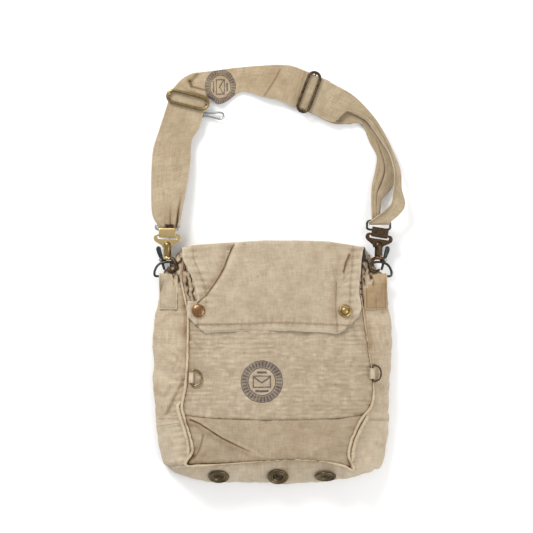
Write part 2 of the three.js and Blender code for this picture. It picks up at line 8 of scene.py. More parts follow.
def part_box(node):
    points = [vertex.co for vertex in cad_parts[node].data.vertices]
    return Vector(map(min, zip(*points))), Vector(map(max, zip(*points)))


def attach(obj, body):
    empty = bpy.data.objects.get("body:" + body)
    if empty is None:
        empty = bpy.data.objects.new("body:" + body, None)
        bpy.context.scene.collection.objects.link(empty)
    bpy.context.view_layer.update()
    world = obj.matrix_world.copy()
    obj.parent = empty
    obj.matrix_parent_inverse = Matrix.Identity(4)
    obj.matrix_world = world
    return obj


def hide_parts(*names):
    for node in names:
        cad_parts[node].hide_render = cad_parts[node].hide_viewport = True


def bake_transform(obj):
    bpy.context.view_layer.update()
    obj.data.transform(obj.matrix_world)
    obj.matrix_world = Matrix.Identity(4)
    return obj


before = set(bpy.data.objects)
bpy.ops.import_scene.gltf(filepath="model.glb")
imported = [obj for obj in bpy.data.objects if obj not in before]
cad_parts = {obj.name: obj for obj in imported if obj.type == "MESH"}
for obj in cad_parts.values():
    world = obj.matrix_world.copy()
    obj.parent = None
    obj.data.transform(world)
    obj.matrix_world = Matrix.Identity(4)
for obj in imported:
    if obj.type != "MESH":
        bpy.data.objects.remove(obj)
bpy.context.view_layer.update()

mm = 0.001
band_at_scale_one = 0.31416  # width of one band of a wave texture whose scale is 1


# ---------------------------------------------------------------- The view
# The sack lies on its back on a pale floor and is seen from straight above, under a large
# soft light from the top left and a weaker one from the right.

camera = bpy.data.objects.new("camera", bpy.data.cameras.new("camera"))
bpy.context.scene.collection.objects.link(camera)
bpy.context.scene.camera = camera
frame_width = 640 * mm
frame_level = 20 * mm
camera_height = 2.6
sensor_width = 36
camera.location = (-7.8 * mm, 114.6 * mm, camera_height)
camera.data.sensor_width = sensor_width
camera.data.lens = sensor_width * (camera_height - frame_level) / frame_width

floor_mesh = bmesh.new()
bmesh.ops.create_grid(floor_mesh, x_segments=1, y_segments=1, size=4)
bmesh.ops.translate(floor_mesh, verts=floor_mesh.verts, vec=(0, 0, -0.3 * mm))
floor_data = bpy.data.meshes.new("floor")
floor_mesh.to_mesh(floor_data)
floor_mesh.free()
floor = bpy.data.objects.new("floor", floor_data)
bpy.context.scene.collection.objects.link(floor)
floor_paint = bpy.data.materials.new("pale floor")
floor_paint.use_nodes = True
floor_shader = floor_paint.node_tree.nodes["Principled BSDF"]
floor_shader.inputs["Base Color"].default_value = (0.93, 0.93, 0.93, 1)
floor_shader.inputs["Roughness"].default_value = 0.9
floor_data.materials.append(floor_paint)


lit_spot = Vector((0, 0.12, 0))


def soft_light(name, place, size, power):
    """A square light at a place, aimed at the object."""
    lamp = bpy.data.objects.new(name, bpy.data.lights.new(name, "AREA"))
    lamp.data.size = size
    lamp.data.energy = power
    lamp.location = place
    lamp.rotation_euler = (lit_spot - Vector(place)).to_track_quat("-Z", "Y").to_euler()
    bpy.context.scene.collection.objects.link(lamp)


soft_light("key light", (-0.75, 1.3, 0.95), 0.6, 27)
soft_light("fill light", (1.3, -0.5, 1.4), 1.4, 20)
world = bpy.data.worlds.new("studio")
world.use_nodes = True
world.node_tree.nodes["Background"].inputs["Color"].default_value = (1, 1, 1, 1)
world.node_tree.nodes["Background"].inputs["Strength"].default_value = 0.66
bpy.context.scene.world = world
bpy.context.scene.view_settings.view_transform = "Standard"


# ---------------------------------------------------------------- Cotton canvas
# The sack's cloth is khaki cotton canvas, a plain weave of 0.6 mm threads, unevenly faded by
# washing and stained brown, with painted shade dark in its folds, gathers and seams, and pale
# raised edges that are partly worn and partly painted highlight.

def start_material(name):
    """A new material with its node tree and its shader."""
    made = bpy.data.materials.new(name)
    made.use_nodes = True
    return made, made.node_tree, made.node_tree.nodes["Principled BSDF"]


def put(tree, kind, inputs=None, **settings):
    """Adds a node, sets its settings, and joins or sets its inputs by name or number."""
    node = tree.nodes.new(kind)
    for key, value in settings.items():
        setattr(node, key, value)
    for key, value in (inputs or {}).items():
        if isinstance(value, bpy.types.NodeSocket):
            tree.links.new(value, node.inputs[key])
        else:
            node.inputs[key].default_value = value
    return node


def calc(tree, operation, *values):
    """A Math node's result on sockets or numbers."""
    return put(tree, "ShaderNodeMath", dict(enumerate(values)), operation=operation).outputs[0]


def blend_colour(tree, share, first, second, mode="MIX"):
    """A Mix Color node's result; colours are sockets or (r, g, b, 1)."""
    node = put(tree, "ShaderNodeMix", data_type="RGBA", blend_type=mode)
    for index, value in ((0, share), (6, first), (7, second)):
        if isinstance(value, bpy.types.NodeSocket):
            tree.links.new(value, node.inputs[index])
        else:
            node.inputs[index].default_value = value
    return node.outputs[2]


def between(tree, value, low, high, to_low=0.0, to_high=1.0):
    """A clamped Map Range of a value."""
    node = put(tree, "ShaderNodeMapRange", {0: value, 1: low, 2: high, 3: to_low, 4: to_high})
    return node.outputs[0]


def speckle(tree, where, scale, detail, roughness=0.5):
    """A noise texture's value."""
    return put(tree, "ShaderNodeTexNoise", {"Vector": where, "Scale": scale, "Detail": detail,
               "Roughness": roughness}).outputs["Fac"]


def stripes(tree, where, width, direction, distortion, detail, detail_scale):
    """A wave texture's value, with bands of a width in millimetres along X or Y."""
    return put(tree, "ShaderNodeTexWave", {"Vector": where, "Scale": band_at_scale_one / (width * mm),
               "Distortion": distortion, "Detail": detail, "Detail Scale": detail_scale},
               bands_direction=direction).outputs["Fac"]


def bumped(tree, strength, deep, height, under=None):
    """A Bump node's normal, over another one if given; deep is in millimetres."""
    inputs = {"Strength": strength, "Distance": deep * mm, "Height": height}
    if under:
        inputs["Normal"] = under
    return put(tree, "ShaderNodeBump", inputs).outputs[0]


def canvas_material(name, pale, deep, brown, thread=0.62, ripple=False, stamp=None):
    """Woven cotton: pale and deep are its clouded shades and brown its stains; thread is the
    weave's pitch in millimetres, ripple adds fine creases and stamp draws an ink mark."""
    made, tree, shader = start_material(name)
    lay = put(tree, "ShaderNodeUVMap", uv_map="lay").outputs[0]
    where = put(tree, "ShaderNodeTexCoord").outputs["Object"]
    soil_and_shading = put(tree, "ShaderNodeAttribute", attribute_name="soil_and_shading").outputs["Fac"]
    wide = speckle(tree, where, 14, 5, 0.6)
    mottle = speckle(tree, where, 90, 6, 0.7)
    stretched = put(tree, "ShaderNodeMapping", {"Vector": lay, "Scale": (60, 900, 1)}).outputs[0]
    slub = speckle(tree, stretched, 1, 3, 0.6)
    warped = put(tree, "ShaderNodeMapping", {"Vector": lay, "Scale": (900, 60, 1)}).outputs[0]
    warp_slub = speckle(tree, warped, 1, 3, 0.6)
    weft, warp = (stripes(tree, lay, thread, way, 0.6, 1, 0.2) for way in "YX")
    weave = calc(tree, "MAXIMUM", weft, warp)
    shade = blend_colour(tree, between(tree, wide, 0.32, 0.7, 0.05, 0.85), pale, deep)
    shade = blend_colour(tree, between(tree, mottle, 0.44, 0.72, 0, 0.42), shade, brown)
    faded = speckle(tree, where, 38, 4, 0.65)
    shade = blend_colour(tree, between(tree, faded, 0.52, 0.72, 0, 0.24), shade, (0.64, 0.54, 0.4, 1))
    streaks = calc(tree, "ADD", slub, warp_slub)
    grey = between(tree, streaks, 0.7, 1.3, 0.8, 1.12)
    gaps = between(tree, weave, 0.1, 0.7, 0.74, 1.04)
    value = calc(tree, "MULTIPLY", grey, gaps)
    value = put(tree, "ShaderNodeCombineColor", {0: value, 1: value, 2: value}).outputs[0]
    shade = blend_colour(tree, 1.0, shade, value, "MULTIPLY")
    specks = speckle(tree, where, 210, 2)
    shade = blend_colour(tree, between(tree, specks, 0.71, 0.78, 0, 0.5), shade, (0.12, 0.08, 0.05, 1))
    # This value mixes real stains with painted shade and painted highlight: from 0 to 1 it browns the cloth,
    # from 0.75 up it paints the deepest creases and gaps near black as painted shade, and below 0 it makes
    # the cloth pale, as painted highlight and as real wear.
    dirt_and_shading = calc(tree, "MULTIPLY", between(tree, soil_and_shading, 0, 1), between(tree, mottle, 0.2, 0.8, 0.7, 1.2))
    shade = blend_colour(tree, calc(tree, "MINIMUM", dirt_and_shading, 0.92), shade, (0.2, 0.12, 0.06, 1))
    shade = blend_colour(tree, between(tree, soil_and_shading, 0.75, 1.6, 0, 0.95), shade, (0.03, 0.02, 0.014, 1))
    shade = blend_colour(tree, between(tree, soil_and_shading, -1, 0, 0.6, 0), shade, (0.74, 0.65, 0.51, 1))
    if stamp:
        ink = stamp(tree, where)
        worn = calc(tree, "MULTIPLY", ink, between(tree, mottle, 0.34, 0.5, 0.6, 0.97))
        worn = calc(tree, "MULTIPLY", worn, between(tree, weave, 0.3, 0.8, 0.55, 1))
        shade = blend_colour(tree, worn, shade, (0.045, 0.035, 0.04, 1))
    tree.links.new(shade, shader.inputs["Base Color"])
    for key, value in (("Roughness", 0.92), ("Specular IOR Level", 0.2), ("Sheen Weight", 0.15),
                       ("Sheen Roughness", 0.5)):
        shader.inputs[key].default_value = value
    bump = bumped(tree, 0.6, 2.4, speckle(tree, where, 55, 5, 0.55))
    if ripple:
        rows = stripes(tree, where, 5.2, "Y", 3.2, 2, 0.35)
        patch = speckle(tree, where, 11, 1)
        rows = calc(tree, "MULTIPLY", rows, between(tree, patch, 0.4, 0.6))
        bump = bumped(tree, 0.55, 0.5, rows, bump)
    tree.links.new(bumped(tree, 0.5, 0.12, weave, bump), shader.inputs["Normal"])
    return made


pale_khaki = (0.5, 0.412, 0.296, 1)
deep_khaki = (0.41, 0.326, 0.22, 1)
brown_khaki = (0.27, 0.18, 0.095, 1)
canvas = canvas_material("faded canvas", pale_khaki, deep_khaki, brown_khaki)


def smooth(value, low, high):
    """0 below low, 1 above high and an easy curve between them."""
    share = min(max((value - low) / (high - low), 0.0), 1.0)
    return share * share * (3 - 2 * share)


def mix(first, second, share):
    """A value at a share of the way from the first to the second."""
    return first + (second - first) * share


def hill(offset, width):
    """A soft hill: 1 where the offset is 0, and next to nothing two widths away."""
    return math.exp(-(offset / width) ** 2)


def beside(distance, reach):
    """1 on a line or an edge, falling away over a reach."""
    return math.exp(-max(distance, 0) / reach)


def waver(x, y, z):
    """Smooth noise from -1 to 1."""
    return noise.noise(Vector((x, y, z)))


def square_to(surface, u, v):
    """Unit vector square to a surface."""
    step = 1e-3
    along_u = surface(min(u + step, 1), v) - surface(max(u - step, 0), v)
    along_v = surface(u, min(v + step, 1)) - surface(u, max(v - step, 0))
    return along_u.cross(along_v).normalized()


def signed_power(value, power):
    """A power that keeps the sign."""
    return math.copysign(abs(value) ** power, value)


def halved(low, high, rounds, too_low):
    """The lower and upper bounds left after a number of halvings of a range."""
    for _ in range(rounds):
        middle = (low + high) / 2
        if too_low(middle):
            low = middle
        else:
            high = middle
    return low, high


def spots(*points):
    return [Vector(point) for point in points]


def in_mm(size):
    return size[0] * 1000, size[1] * 1000


def thicken(made, thick):
    """Gives a single-walled mesh a thickness in millimetres, half to each side."""
    wall = made.modifiers.new("thickness", "SOLIDIFY")
    wall.thickness = thick * mm
    wall.offset = 0


def finish_mesh(name, bm, finish, slot, rides):
    """Turns a bmesh into a smooth piece that rides on a body."""
    data = bpy.data.meshes.new(name)
    bm.to_mesh(data)
    bm.free()
    for face in data.polygons:
        face.use_smooth = True
    data.materials.append(finish)
    made = bpy.data.objects.new(name, data)
    bpy.context.scene.collection.objects.link(made)
    if rides:
        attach(made, rides)
    return made


def sheet_of(name, columns, rows, surface, size, thick=1.2, finish=canvas, slot="canvas",
             rides="sack", soil_and_shading=None, nudge=None):
    """A cloth sheet: a grid whose corners go to surface(u, v), in millimetres, pushed along
    its own normal by nudge(u, v), laid with its own lengths as UV and given its thickness."""
    bm = bmesh.new()
    bmesh.ops.create_grid(bm, x_segments=columns, y_segments=rows, size=0.5)
    uv = bm.loops.layers.uv.new("lay")
    dirt_and_shading = bm.verts.layers.float.new("soil_and_shading")
    for face in bm.faces:
        for loop in face.loops:
            u, v = loop.vert.co.x + 0.5, loop.vert.co.y + 0.5
            loop[uv].uv = (u * size[0] * mm, v * size[1] * mm)
    for vert in bm.verts:
        u, v = vert.co.x + 0.5, vert.co.y + 0.5
        place = surface(u, v)
        if nudge:
            place = place + square_to(surface, u, v) * nudge(u, v)
        # Each corner's value mixes real stains with painted shade and painted highlight.
        vert[dirt_and_shading] = soil_and_shading(u, v) if soil_and_shading else 0.0
        vert.co = place * mm
    made = finish_mesh(name, bm, finish, slot, rides)
    thicken(made, thick)
    return made


# ---------------------------------------------------------------- The sack's outline
# The front cloth, the gussets and the back meet along two seams. Three lines give the whole
# shape: the front seam, the belly where the gusset bulges furthest, and the back seam.

def along(points, share):
    """The point at a share of a smooth line through evenly counted points."""
    place = min(max(share, 0.0), 1.0) * (len(points) - 1)
    i = min(int(place), len(points) - 2)
    f = place - i
    a, b = points[max(i - 1, 0)], points[i]
    c, d = points[i + 1], points[min(i + 2, len(points) - 1)]
    return 0.5 * (2 * b + (c - a) * f + (2 * a - 5 * b + 4 * c - d) * f * f
                  + (3 * b - a - 3 * c + d) * f ** 3)


front_seam = spots(
    (-104, 134), (-107, 118), (-109, 100), (-105.5, 80), (-101.2, 58), (-101, 22), (-101.6, -10),
    (-104, -32), (-107.5, -53), (-104, -67), (-98.6, -84), (-95, -105), (-103, -121), (-88, -121.5),
    (-60, -120.5), (-25, -118), (20, -115.2), (57, -117), (84, -122), (95, -127), (89, -111), (91.5, -95),
    (97, -81), (105, -66), (116, -52), (119.4, -35), (118.6, -18), (116.6, -2), (113.6, 15), (111, 36),
    (107.4, 62), (104.5, 84), (104, 104), (103, 120), (102, 134))
belly = spots(
    (-106, 137), (-116, 124), (-129, 107), (-135.5, 84), (-140, 58), (-143.5, 22), (-143.5, -12),
    (-142.5, -38), (-141, -58), (-139.5, -73), (-136.5, -93), (-131.5, -112), (-125.5, -127.5), (-100, -138),
    (-62, -144), (-25, -144.5), (20, -144.5), (57, -143.5), (90, -139), (122, -130.5), (128.5, -115),
    (132, -99), (135.5, -84), (139, -68), (141.5, -52), (143, -35), (143.5, -18), (143.5, -2), (143.5, 15),
    (142.5, 36), (139.5, 62), (136.5, 84), (130, 104), (116, 124), (107, 137))
back_half_width = 111.0
back_bottom = -127.5
last = len(front_seam) - 1


def front_height(y):
    """Height of the front cloth, which slopes down towards the mouth."""
    return mix(42.0, 27.0, (y + 118) / 252)


def back_seam(share):
    """The back seam's point opposite a share of the belly: a rectangle with round corners."""
    out = along(belly, share)
    x = max(-back_half_width, min(back_half_width, out.x * 0.97))
    return Vector((x, max(back_bottom, out.y)))


def gusset_surface(share, across):
    """The gusset at a share of the seams' length, from the front seam (0) to the back (1)."""
    top, out, foot = along(front_seam, share), along(belly, share), back_seam(share)
    height = front_height(top.y) - 0.4
    flat = 1.3
    reach = out - top
    corners = (top, top + 0.85 * reach, top + 1.69 * reach, foot)
    heights = (height, 0.55 * height, flat, flat)
    weights = ((1 - across) ** 3, 3 * (1 - across) ** 2 * across, 3 * (1 - across) * across ** 2, across ** 3)
    x = sum(w * c.x for w, c in zip(weights, corners))
    y = sum(w * c.y for w, c in zip(weights, corners))
    z = sum(w * h for w, h in zip(weights, heights))
    return Vector((x, y, z))


# ---------------------------------------------------------------- Back panel
# One piece of canvas, flat on the floor and nearly unseen, cut to the back seam.

top_edge = (
    (-112, 136.6), (-90, 139.6), (-50, 142.4), (-10, 144.6), (25, 144.6), (67, 143.4), (92, 139.6),
    (112, 136.6))


def line_y(points, x):
    """Y of a line of straight stretches at an X."""
    for (ax, ay), (bx, by) in zip(points, points[1:]):
        if x <= bx or (bx, by) == points[-1]:
            return mix(ay, by, min(max((x - ax) / (bx - ax), 0.0), 1.0))


def back_surface(u, v):
    y = mix(back_bottom + 0.5, line_y(top_edge, mix(-109, 109, u)) - 2.0, v)
    inset = 16 * max(0.0, 1 - (y - back_bottom) / 16) ** 2
    half = back_half_width - 1.5 - inset
    sag = 0.25 * waver(u * 9, v * 9, 3)
    return Vector((mix(-half, half, u), y, 0.75 + max(sag, -0.1)))


back = sheet_of("back_cloth", 60, 70, back_surface, (220, 266))
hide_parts("back_panel", "back_seam_binding")


# ---------------------------------------------------------------- Front panel and lower band
# The front is one piece of canvas, slack and creased across, sewn to the gussets all round. Its
# lowest fifth is a separate band of the same cloth, joined by a seam that runs straight across.

def crossing(line, axis, value, rising):
    """The share of a line at which it reaches a value of X (axis 0) or Y (axis 1)."""
    low, high = halved(0.0, 1.0, 24, lambda share: (along(line, share)[axis] < value) == rising)
    return (low + high) / 2


left_seam, low_seam, right_seam = front_seam[:13], front_seam[12:20], front_seam[19:]
left_seam_x = [along(left_seam, crossing(left_seam, 1, y, False)).x for y in range(-136, 142)]
right_seam_x = [along(right_seam, crossing(right_seam, 1, y, True)).x for y in range(-136, 142)]
bottom_seam_y = [along(low_seam, crossing(low_seam, 0, x, True)).y for x in range(-110, 111)]


def table(values, first, place):
    """A value between the entries of a list that starts at a whole number."""
    place = min(max(place - first, 0.0), len(values) - 1.001)
    i = int(place)
    return mix(values[i], values[i + 1], place - i)


def seam_x(y, left):
    """X of the front seam at a height on the sack, on its left or its right."""
    return table(left_seam_x if left else right_seam_x, -136, y)


def bottom_y(x):
    """Y of the front seam along the bottom at an X."""
    return table(bottom_seam_y, -110, x)


def band_y(x):
    """Y of the seam between the front panel and the lower band."""
    return -66.8 - 1.6 * math.cos(x / 70) + 4.5 * (x / 105) ** 4


def shifted(line, by_x, by_y):
    """A line of points moved aside."""
    return [(x + by_x, y + by_y) for x, y in line]


def ridge(x, y, points, width, height):
    """Height of a soft fold that runs along a line of points."""
    best = 1e9
    for (ax, ay), (bx, by) in zip(points, points[1:]):
        dx, dy = bx - ax, by - ay
        t = min(max(((x - ax) * dx + (y - ay) * dy) / (dx * dx + dy * dy), 0), 1)
        best = min(best, math.hypot(x - ax - t * dx, y - ay - t * dy))
    return height * hill(best, width)


def step_fold(x, y, points, width, height):
    """A fold with a bright side and a dark one: high on the line's left and low on its right."""
    best, side = 1e9, 0.0
    for (ax, ay), (bx, by) in zip(points, points[1:]):
        dx, dy = bx - ax, by - ay
        long = math.hypot(dx, dy)
        t = min(max(((x - ax) * dx + (y - ay) * dy) / (long * long), 0), 1)
        far = math.hypot(x - ax - t * dx, y - ay - t * dy)
        if far < best:
            best, side = far, (dx * (y - ay) - dy * (x - ax)) / long
    fade = hill(best, 2.4 * width)
    return height * fade * math.tanh(side / width * 1.6)


def crumple(x, y, seed, size, height):
    """Uneven wrinkles in three sizes, the largest as wide as size."""
    where = Vector((x / size, y / size, seed))
    value = noise.noise(where) + 0.5 * noise.noise(where * 2.1) + 0.25 * noise.noise(where * 4.3)
    return height * value


def pucker(near, run, wave, height, reach=9.0, seed=0.0):
    """The gathers beside a seam: near is the distance from it and run the length along it."""
    shift = 2.2 * waver(run / 23, seed, 1)
    return height * math.exp(-abs(near) / reach) * math.cos(2 * math.pi * run / wave + shift)


def gathers(x, y):
    """Above 0 in the valleys and below 0 on the crests of cloth crushed into upright folds."""
    sway = 1.1 * waver(x / 11, y / 15, 37) + 0.35 * waver(x / 4, y / 6, 38)
    depth = 0.75 + 0.5 * waver(x / 6, y / 8, 39)
    return depth * math.sin(2 * math.pi * ((x + 0.25 * y) / 7.4 + sway))


def crushed_cloth(x, y):
    """1 where the front is crushed together beside the flap's upper left edge."""
    return smooth(y, 66, 82) * smooth(-x, 86, 97)


def side_gaps(x, y):
    """Distances from the left and the right stretch of the front seam."""
    return x - seam_x(y, True), seam_x(y, False) - x


def slack_dome(u, y):
    """Height of the front cloth between its side seams, a little domed."""
    return front_height(y) + 0.2 + 1.2 * math.sin(math.pi * u) ** 0.5


def front_relief(x, y):
    """How far the front cloth stands out or dips at a place, in millimetres."""
    h = crumple(x, y, 1.0, 60, 2.2) + crumple(x, y, 5.0, 22, 0.9)
    # long slack creases across the middle, strongest at the centre and right
    slack = smooth(waver(x / 60, y / 40, 7), -0.25, 0.35) * smooth(y, -60, -35)
    bend = y + 3.0 * waver(x / 45, y / 60, 2)
    h += 0.42 * slack * math.sin(2 * math.pi * bend / 5.6 + 1.5 * waver(x / 18, y / 9, 4))
    for line, width, height in (
            ([(-20, 26), (20, 21), (62, 27)], 3.2, 0.8), ([(28, 8), (66, 3), (102, 8)], 3.4, 0.9),
            ([(-96, -6), (-60, 2), (-34, 0)], 4.0, 0.8), ([(32, -28), (70, -24), (108, -30)], 3.2, 0.8),
            ([(-98, -40), (-74, -52), (-40, -56)], 4.0, 0.9),
            ([(-100, 30), (-84, 12), (-86, -14)], 3.0, -1.1),
            ([(-78, 34), (-72, 24), (-70, 8)], 3.0, 0.8), ([(50, -34), (72, -52), (104, -58)], 3.4, 0.8),
            ([(112, 20), (96, 10), (86, -8)], 3.2, 0.9), ([(40, -6), (36, -30), (48, -50)], 3.0, 0.6)):
        h += ridge(x, y, line, width, height)
    h -= crushed_cloth(x, y) * (2.5 * gathers(x, y) + 1.4)
    # the cloth dips into the seams all round and gathers along them
    left, right = side_gaps(x, y)
    h += pucker(left, y, 10.5, 0.7, 8, 3) + pucker(right, y, 11.5, 0.7, 8, 4)
    h -= 1.3 * beside(left, 3.5) + 1.3 * beside(right, 3.5)
    seam = y - band_y(x)
    h += pucker(seam, x, 8.6, 0.45 * (1 + smooth(x, -30, -60)), 5.5, 5)
    h -= 1.1 * hill(seam, 1.6)
    return h


def front_soil_and_shading(x, y):
    """How dark the front cloth is at a place: painted shade in the dips of its seams and in its crushed folds
    and creases, painted highlight on the folds' crests, brown stain spots, less its worn pale patches.
    """
    left, right = side_gaps(x, y)
    # Painted shade in the dips along the side seams and the band seam, fading out over a wider reach.
    dark = 1.5 * beside(left, 1.5) + 1.2 * beside(right, 1.4)
    dark += 0.16 * beside(left, 12) + 0.13 * beside(right, 12)
    dark += 0.55 * hill(y - band_y(x), 1.1)
    for sx, sy, size in ((-34, 12, 1.3), (17.5, 6, 1.2), (-8, 48, 0.9), (60, 16, 0.8)):
        dark += 0.7 * math.exp(-(((x - sx) / size) ** 2 + ((y - sy) / size) ** 2))
    # Painted shade in the valleys of the crushed cloth and painted highlight on its crests.
    folds = gathers(x, y)
    dark += crushed_cloth(x, y) * (0.15 + 2.6 * smooth(folds, 0.15, 0.9) - 0.5 * smooth(-folds, 0.3, 0.9))
    # Painted shade along two creases.
    dark += (ridge(x, y, [(-99, 30), (-83, 11), (-85, -14)], 2.2, 0.2)
             + ridge(x, y, [(42, -6), (38, -30), (50, -50)], 2.0, 0.12))
    return dark - 0.3 * smooth(waver(x / 9, y / 3.2, 8), 0.05, 0.5)


def panel_point(u, v):
    y = mix(band_y(mix(-103, 104, u)), 134.0, v)
    x = mix(seam_x(y, True), seam_x(y, False), u)
    return Vector((x, y, slack_dome(u, y)))


def panel_nudge(u, v):
    return front_relief(*panel_point(u, v).xy)


def panel_soil_and_shading(u, v):
    return front_soil_and_shading(*panel_point(u, v).xy)


def crest(tree, where):
    """A round ink stamp: a ring of short strokes round a plain folded letter."""
    local = put(tree, "ShaderNodeMapping",
                {"Vector": where, "Location": (13.3 * mm, 22.7 * mm, 0)}).outputs[0]
    return stamp_ink(tree, local, 25, 25)


def stamp_ink(tree, local, half_x, half_y):
    """1 where a round stamp of the given half sizes in millimetres has left ink."""
    def do(operation, *values):
        return calc(tree, operation, *values)

    def apart(first, second):
        return do("ABSOLUTE", do("SUBTRACT", first, second))

    def either(*marks):
        ink = marks[0]
        for mark in marks[1:]:
            ink = do("MAXIMUM", ink, mark)
        return ink

    def ring(radius, width):
        return between(tree, apart(far, radius), width, width * 0.5)

    def box(cx, cy, wide, tall):
        beyond = do("MAXIMUM", do("SUBTRACT", apart(x, cx), wide), do("SUBTRACT", apart(y, cy), tall))
        return between(tree, beyond, 0.03, 0.0)

    def vector(operation, inputs):
        return put(tree, "ShaderNodeVectorMath", inputs, operation=operation).outputs[0]

    spread = put(tree, "ShaderNodeTexNoise", {"Vector": local, "Scale": 260, "Detail": 3})
    wander = vector("ADD", {0: spread.outputs["Color"], 1: (-0.5, -0.5, -0.5)})
    wander = vector("SCALE", {0: wander, 3: 1.4 * mm})
    parts = put(tree, "ShaderNodeSeparateXYZ", {0: vector("ADD", {0: local, 1: wander})})
    x = do("DIVIDE", parts.outputs[0], half_x * mm)
    y = do("DIVIDE", parts.outputs[1], half_y * mm)
    far = do("SQRT", do("ADD", do("MULTIPLY", x, x), do("MULTIPLY", y, y)))
    spokes = between(tree, do("SINE", do("MULTIPLY", do("ARCTAN2", y, x), 34)), -0.1, 0.3)
    dashes = do("MULTIPLY", between(tree, spokes, 0, 1, 0.62, 1.0),
                between(tree, apart(far, 0.83), 0.15, 0.11))
    letter = do("SUBTRACT", box(0, 0, 0.42, 0.28), box(0, 0, 0.36, 0.22))
    fold = apart(y, do("SUBTRACT", do("MULTIPLY", do("ABSOLUTE", x), 0.72), 0.06))
    fold = do("MULTIPLY", between(tree, fold, 0.055, 0.03), box(0, 0, 0.38, 0.24))
    bars = do("ADD", box(0, 0.44, 0.22, 0.035), box(0, -0.45, 0.3, 0.035))
    ink = either(dashes, letter, fold, bars, ring(0.985, 0.03), ring(0.66, 0.035))
    return do("MINIMUM", ink, 1.0)


front_canvas = canvas_material("front canvas", (0.42, 0.342, 0.245, 1), (0.335, 0.265, 0.178, 1),
                               (0.23, 0.155, 0.085, 1), ripple=True, stamp=crest)
band_canvas = canvas_material("band canvas", (0.415, 0.335, 0.237, 1), (0.325, 0.255, 0.17, 1),
                              (0.23, 0.155, 0.085, 1))
front = sheet_of("front_cloth", 150, 150, panel_point, (208, 202), finish=front_canvas,
                 soil_and_shading=panel_soil_and_shading, nudge=panel_nudge)
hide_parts("front_panel")

front_corner_crease = [(-83, -86), (-84.6, -94), (-87.6, -104), (-93, -113)]
band_crease = [(-99, -68.2), (-88, -72.6), (-79.3, -78.2), (-61.8, -89.6), (-42.2, -99.3), (-21, -108.8)]


def band_point(u, v):
    x = mix(-101.5, 101.5, u)
    y = mix(bottom_y(mix(-95, 92, u)), band_y(x), v)
    x = mix(seam_x(y, True), seam_x(y, False), u)
    return Vector((x, y, slack_dome(u, y) - 3.0 * (1 - v) ** 5))


def band_nudge(u, v):
    x, y = band_point(u, v).xy
    h = crumple(x, y, 11.0, 48, 2.2) + crumple(x, y, 15.0, 17, 0.8)
    h += step_fold(x, y, band_crease, 2.2, -1.7)
    h += step_fold(x, y, front_corner_crease, 2.4, 1.5)
    h += ridge(x, y, [(-78, -84), (-80, -97), (-83, -108)], 3.0, 1.0)
    h += ridge(x, y, [(10, -78), (40, -84), (72, -80)], 3.0, 0.5)
    h += ridge(x, y, [(50, -104), (70, -96), (88, -98)], 2.6, 0.6)
    (left, right), low = side_gaps(x, y), v * 50
    h += pucker(left, y, 9.0, 0.5, 7, 13) + pucker(right, y, 9.5, 0.5, 7, 14)
    h += pucker(low, x, 11.0, 0.5, 7, 15) + pucker(y - band_y(x), x, 8.6, 0.35, 5.5, 5)
    h -= 1.3 * beside(left, 3.5) + 1.3 * beside(right, 3.5)
    return h - 1.0 * hill(y - band_y(x), 1.6)


def band_soil_and_shading(u, v):
    x, y = band_point(u, v).xy
    left, right = side_gaps(x, y)
    # Painted shade in the dips along the side seams, the lower seam and the band seam.
    dark = 0.1 + 1.5 * beside(left, 1.5) + 1.2 * beside(right, 1.4)
    dark += 1.4 * beside(v * 50, 1.5) + 0.5 * hill(y - band_y(x), 1.1)
    # Painted shade: a dark line in the band's crease, a wider shaded side beside it, and a dark line in the
    # corner crease.
    dark += ridge(x, y, band_crease, 0.95, 1.5 + 0.7 * waver(x / 9, y / 9, 67)) * smooth(-x, 12, 50)
    dark += ridge(x, y, shifted(band_crease, -1, -3), 3.6, 0.22)
    dark += ridge(x, y, front_corner_crease, 1.5, 0.8)
    # Painted highlight on the lit side of the band's crease.
    return dark - ridge(x, y, shifted(band_crease, 1, 3.4), 1.9, 0.3)


band = sheet_of("front_band_cloth", 200, 60, band_point, (204, 50), finish=band_canvas, soil_and_shading=band_soil_and_shading,
                nudge=band_nudge)
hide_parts("front_band")


# ---------------------------------------------------------------- Gussets
# Three strips of the same canvas make the sides and the bottom. They bulge past the front
# seam, draw in to the mouth at the top, and are pieced together with seams across.

left_gusset_crease = [(-107, -20), (-113, -32), (-119, -44), (-128, -62)]


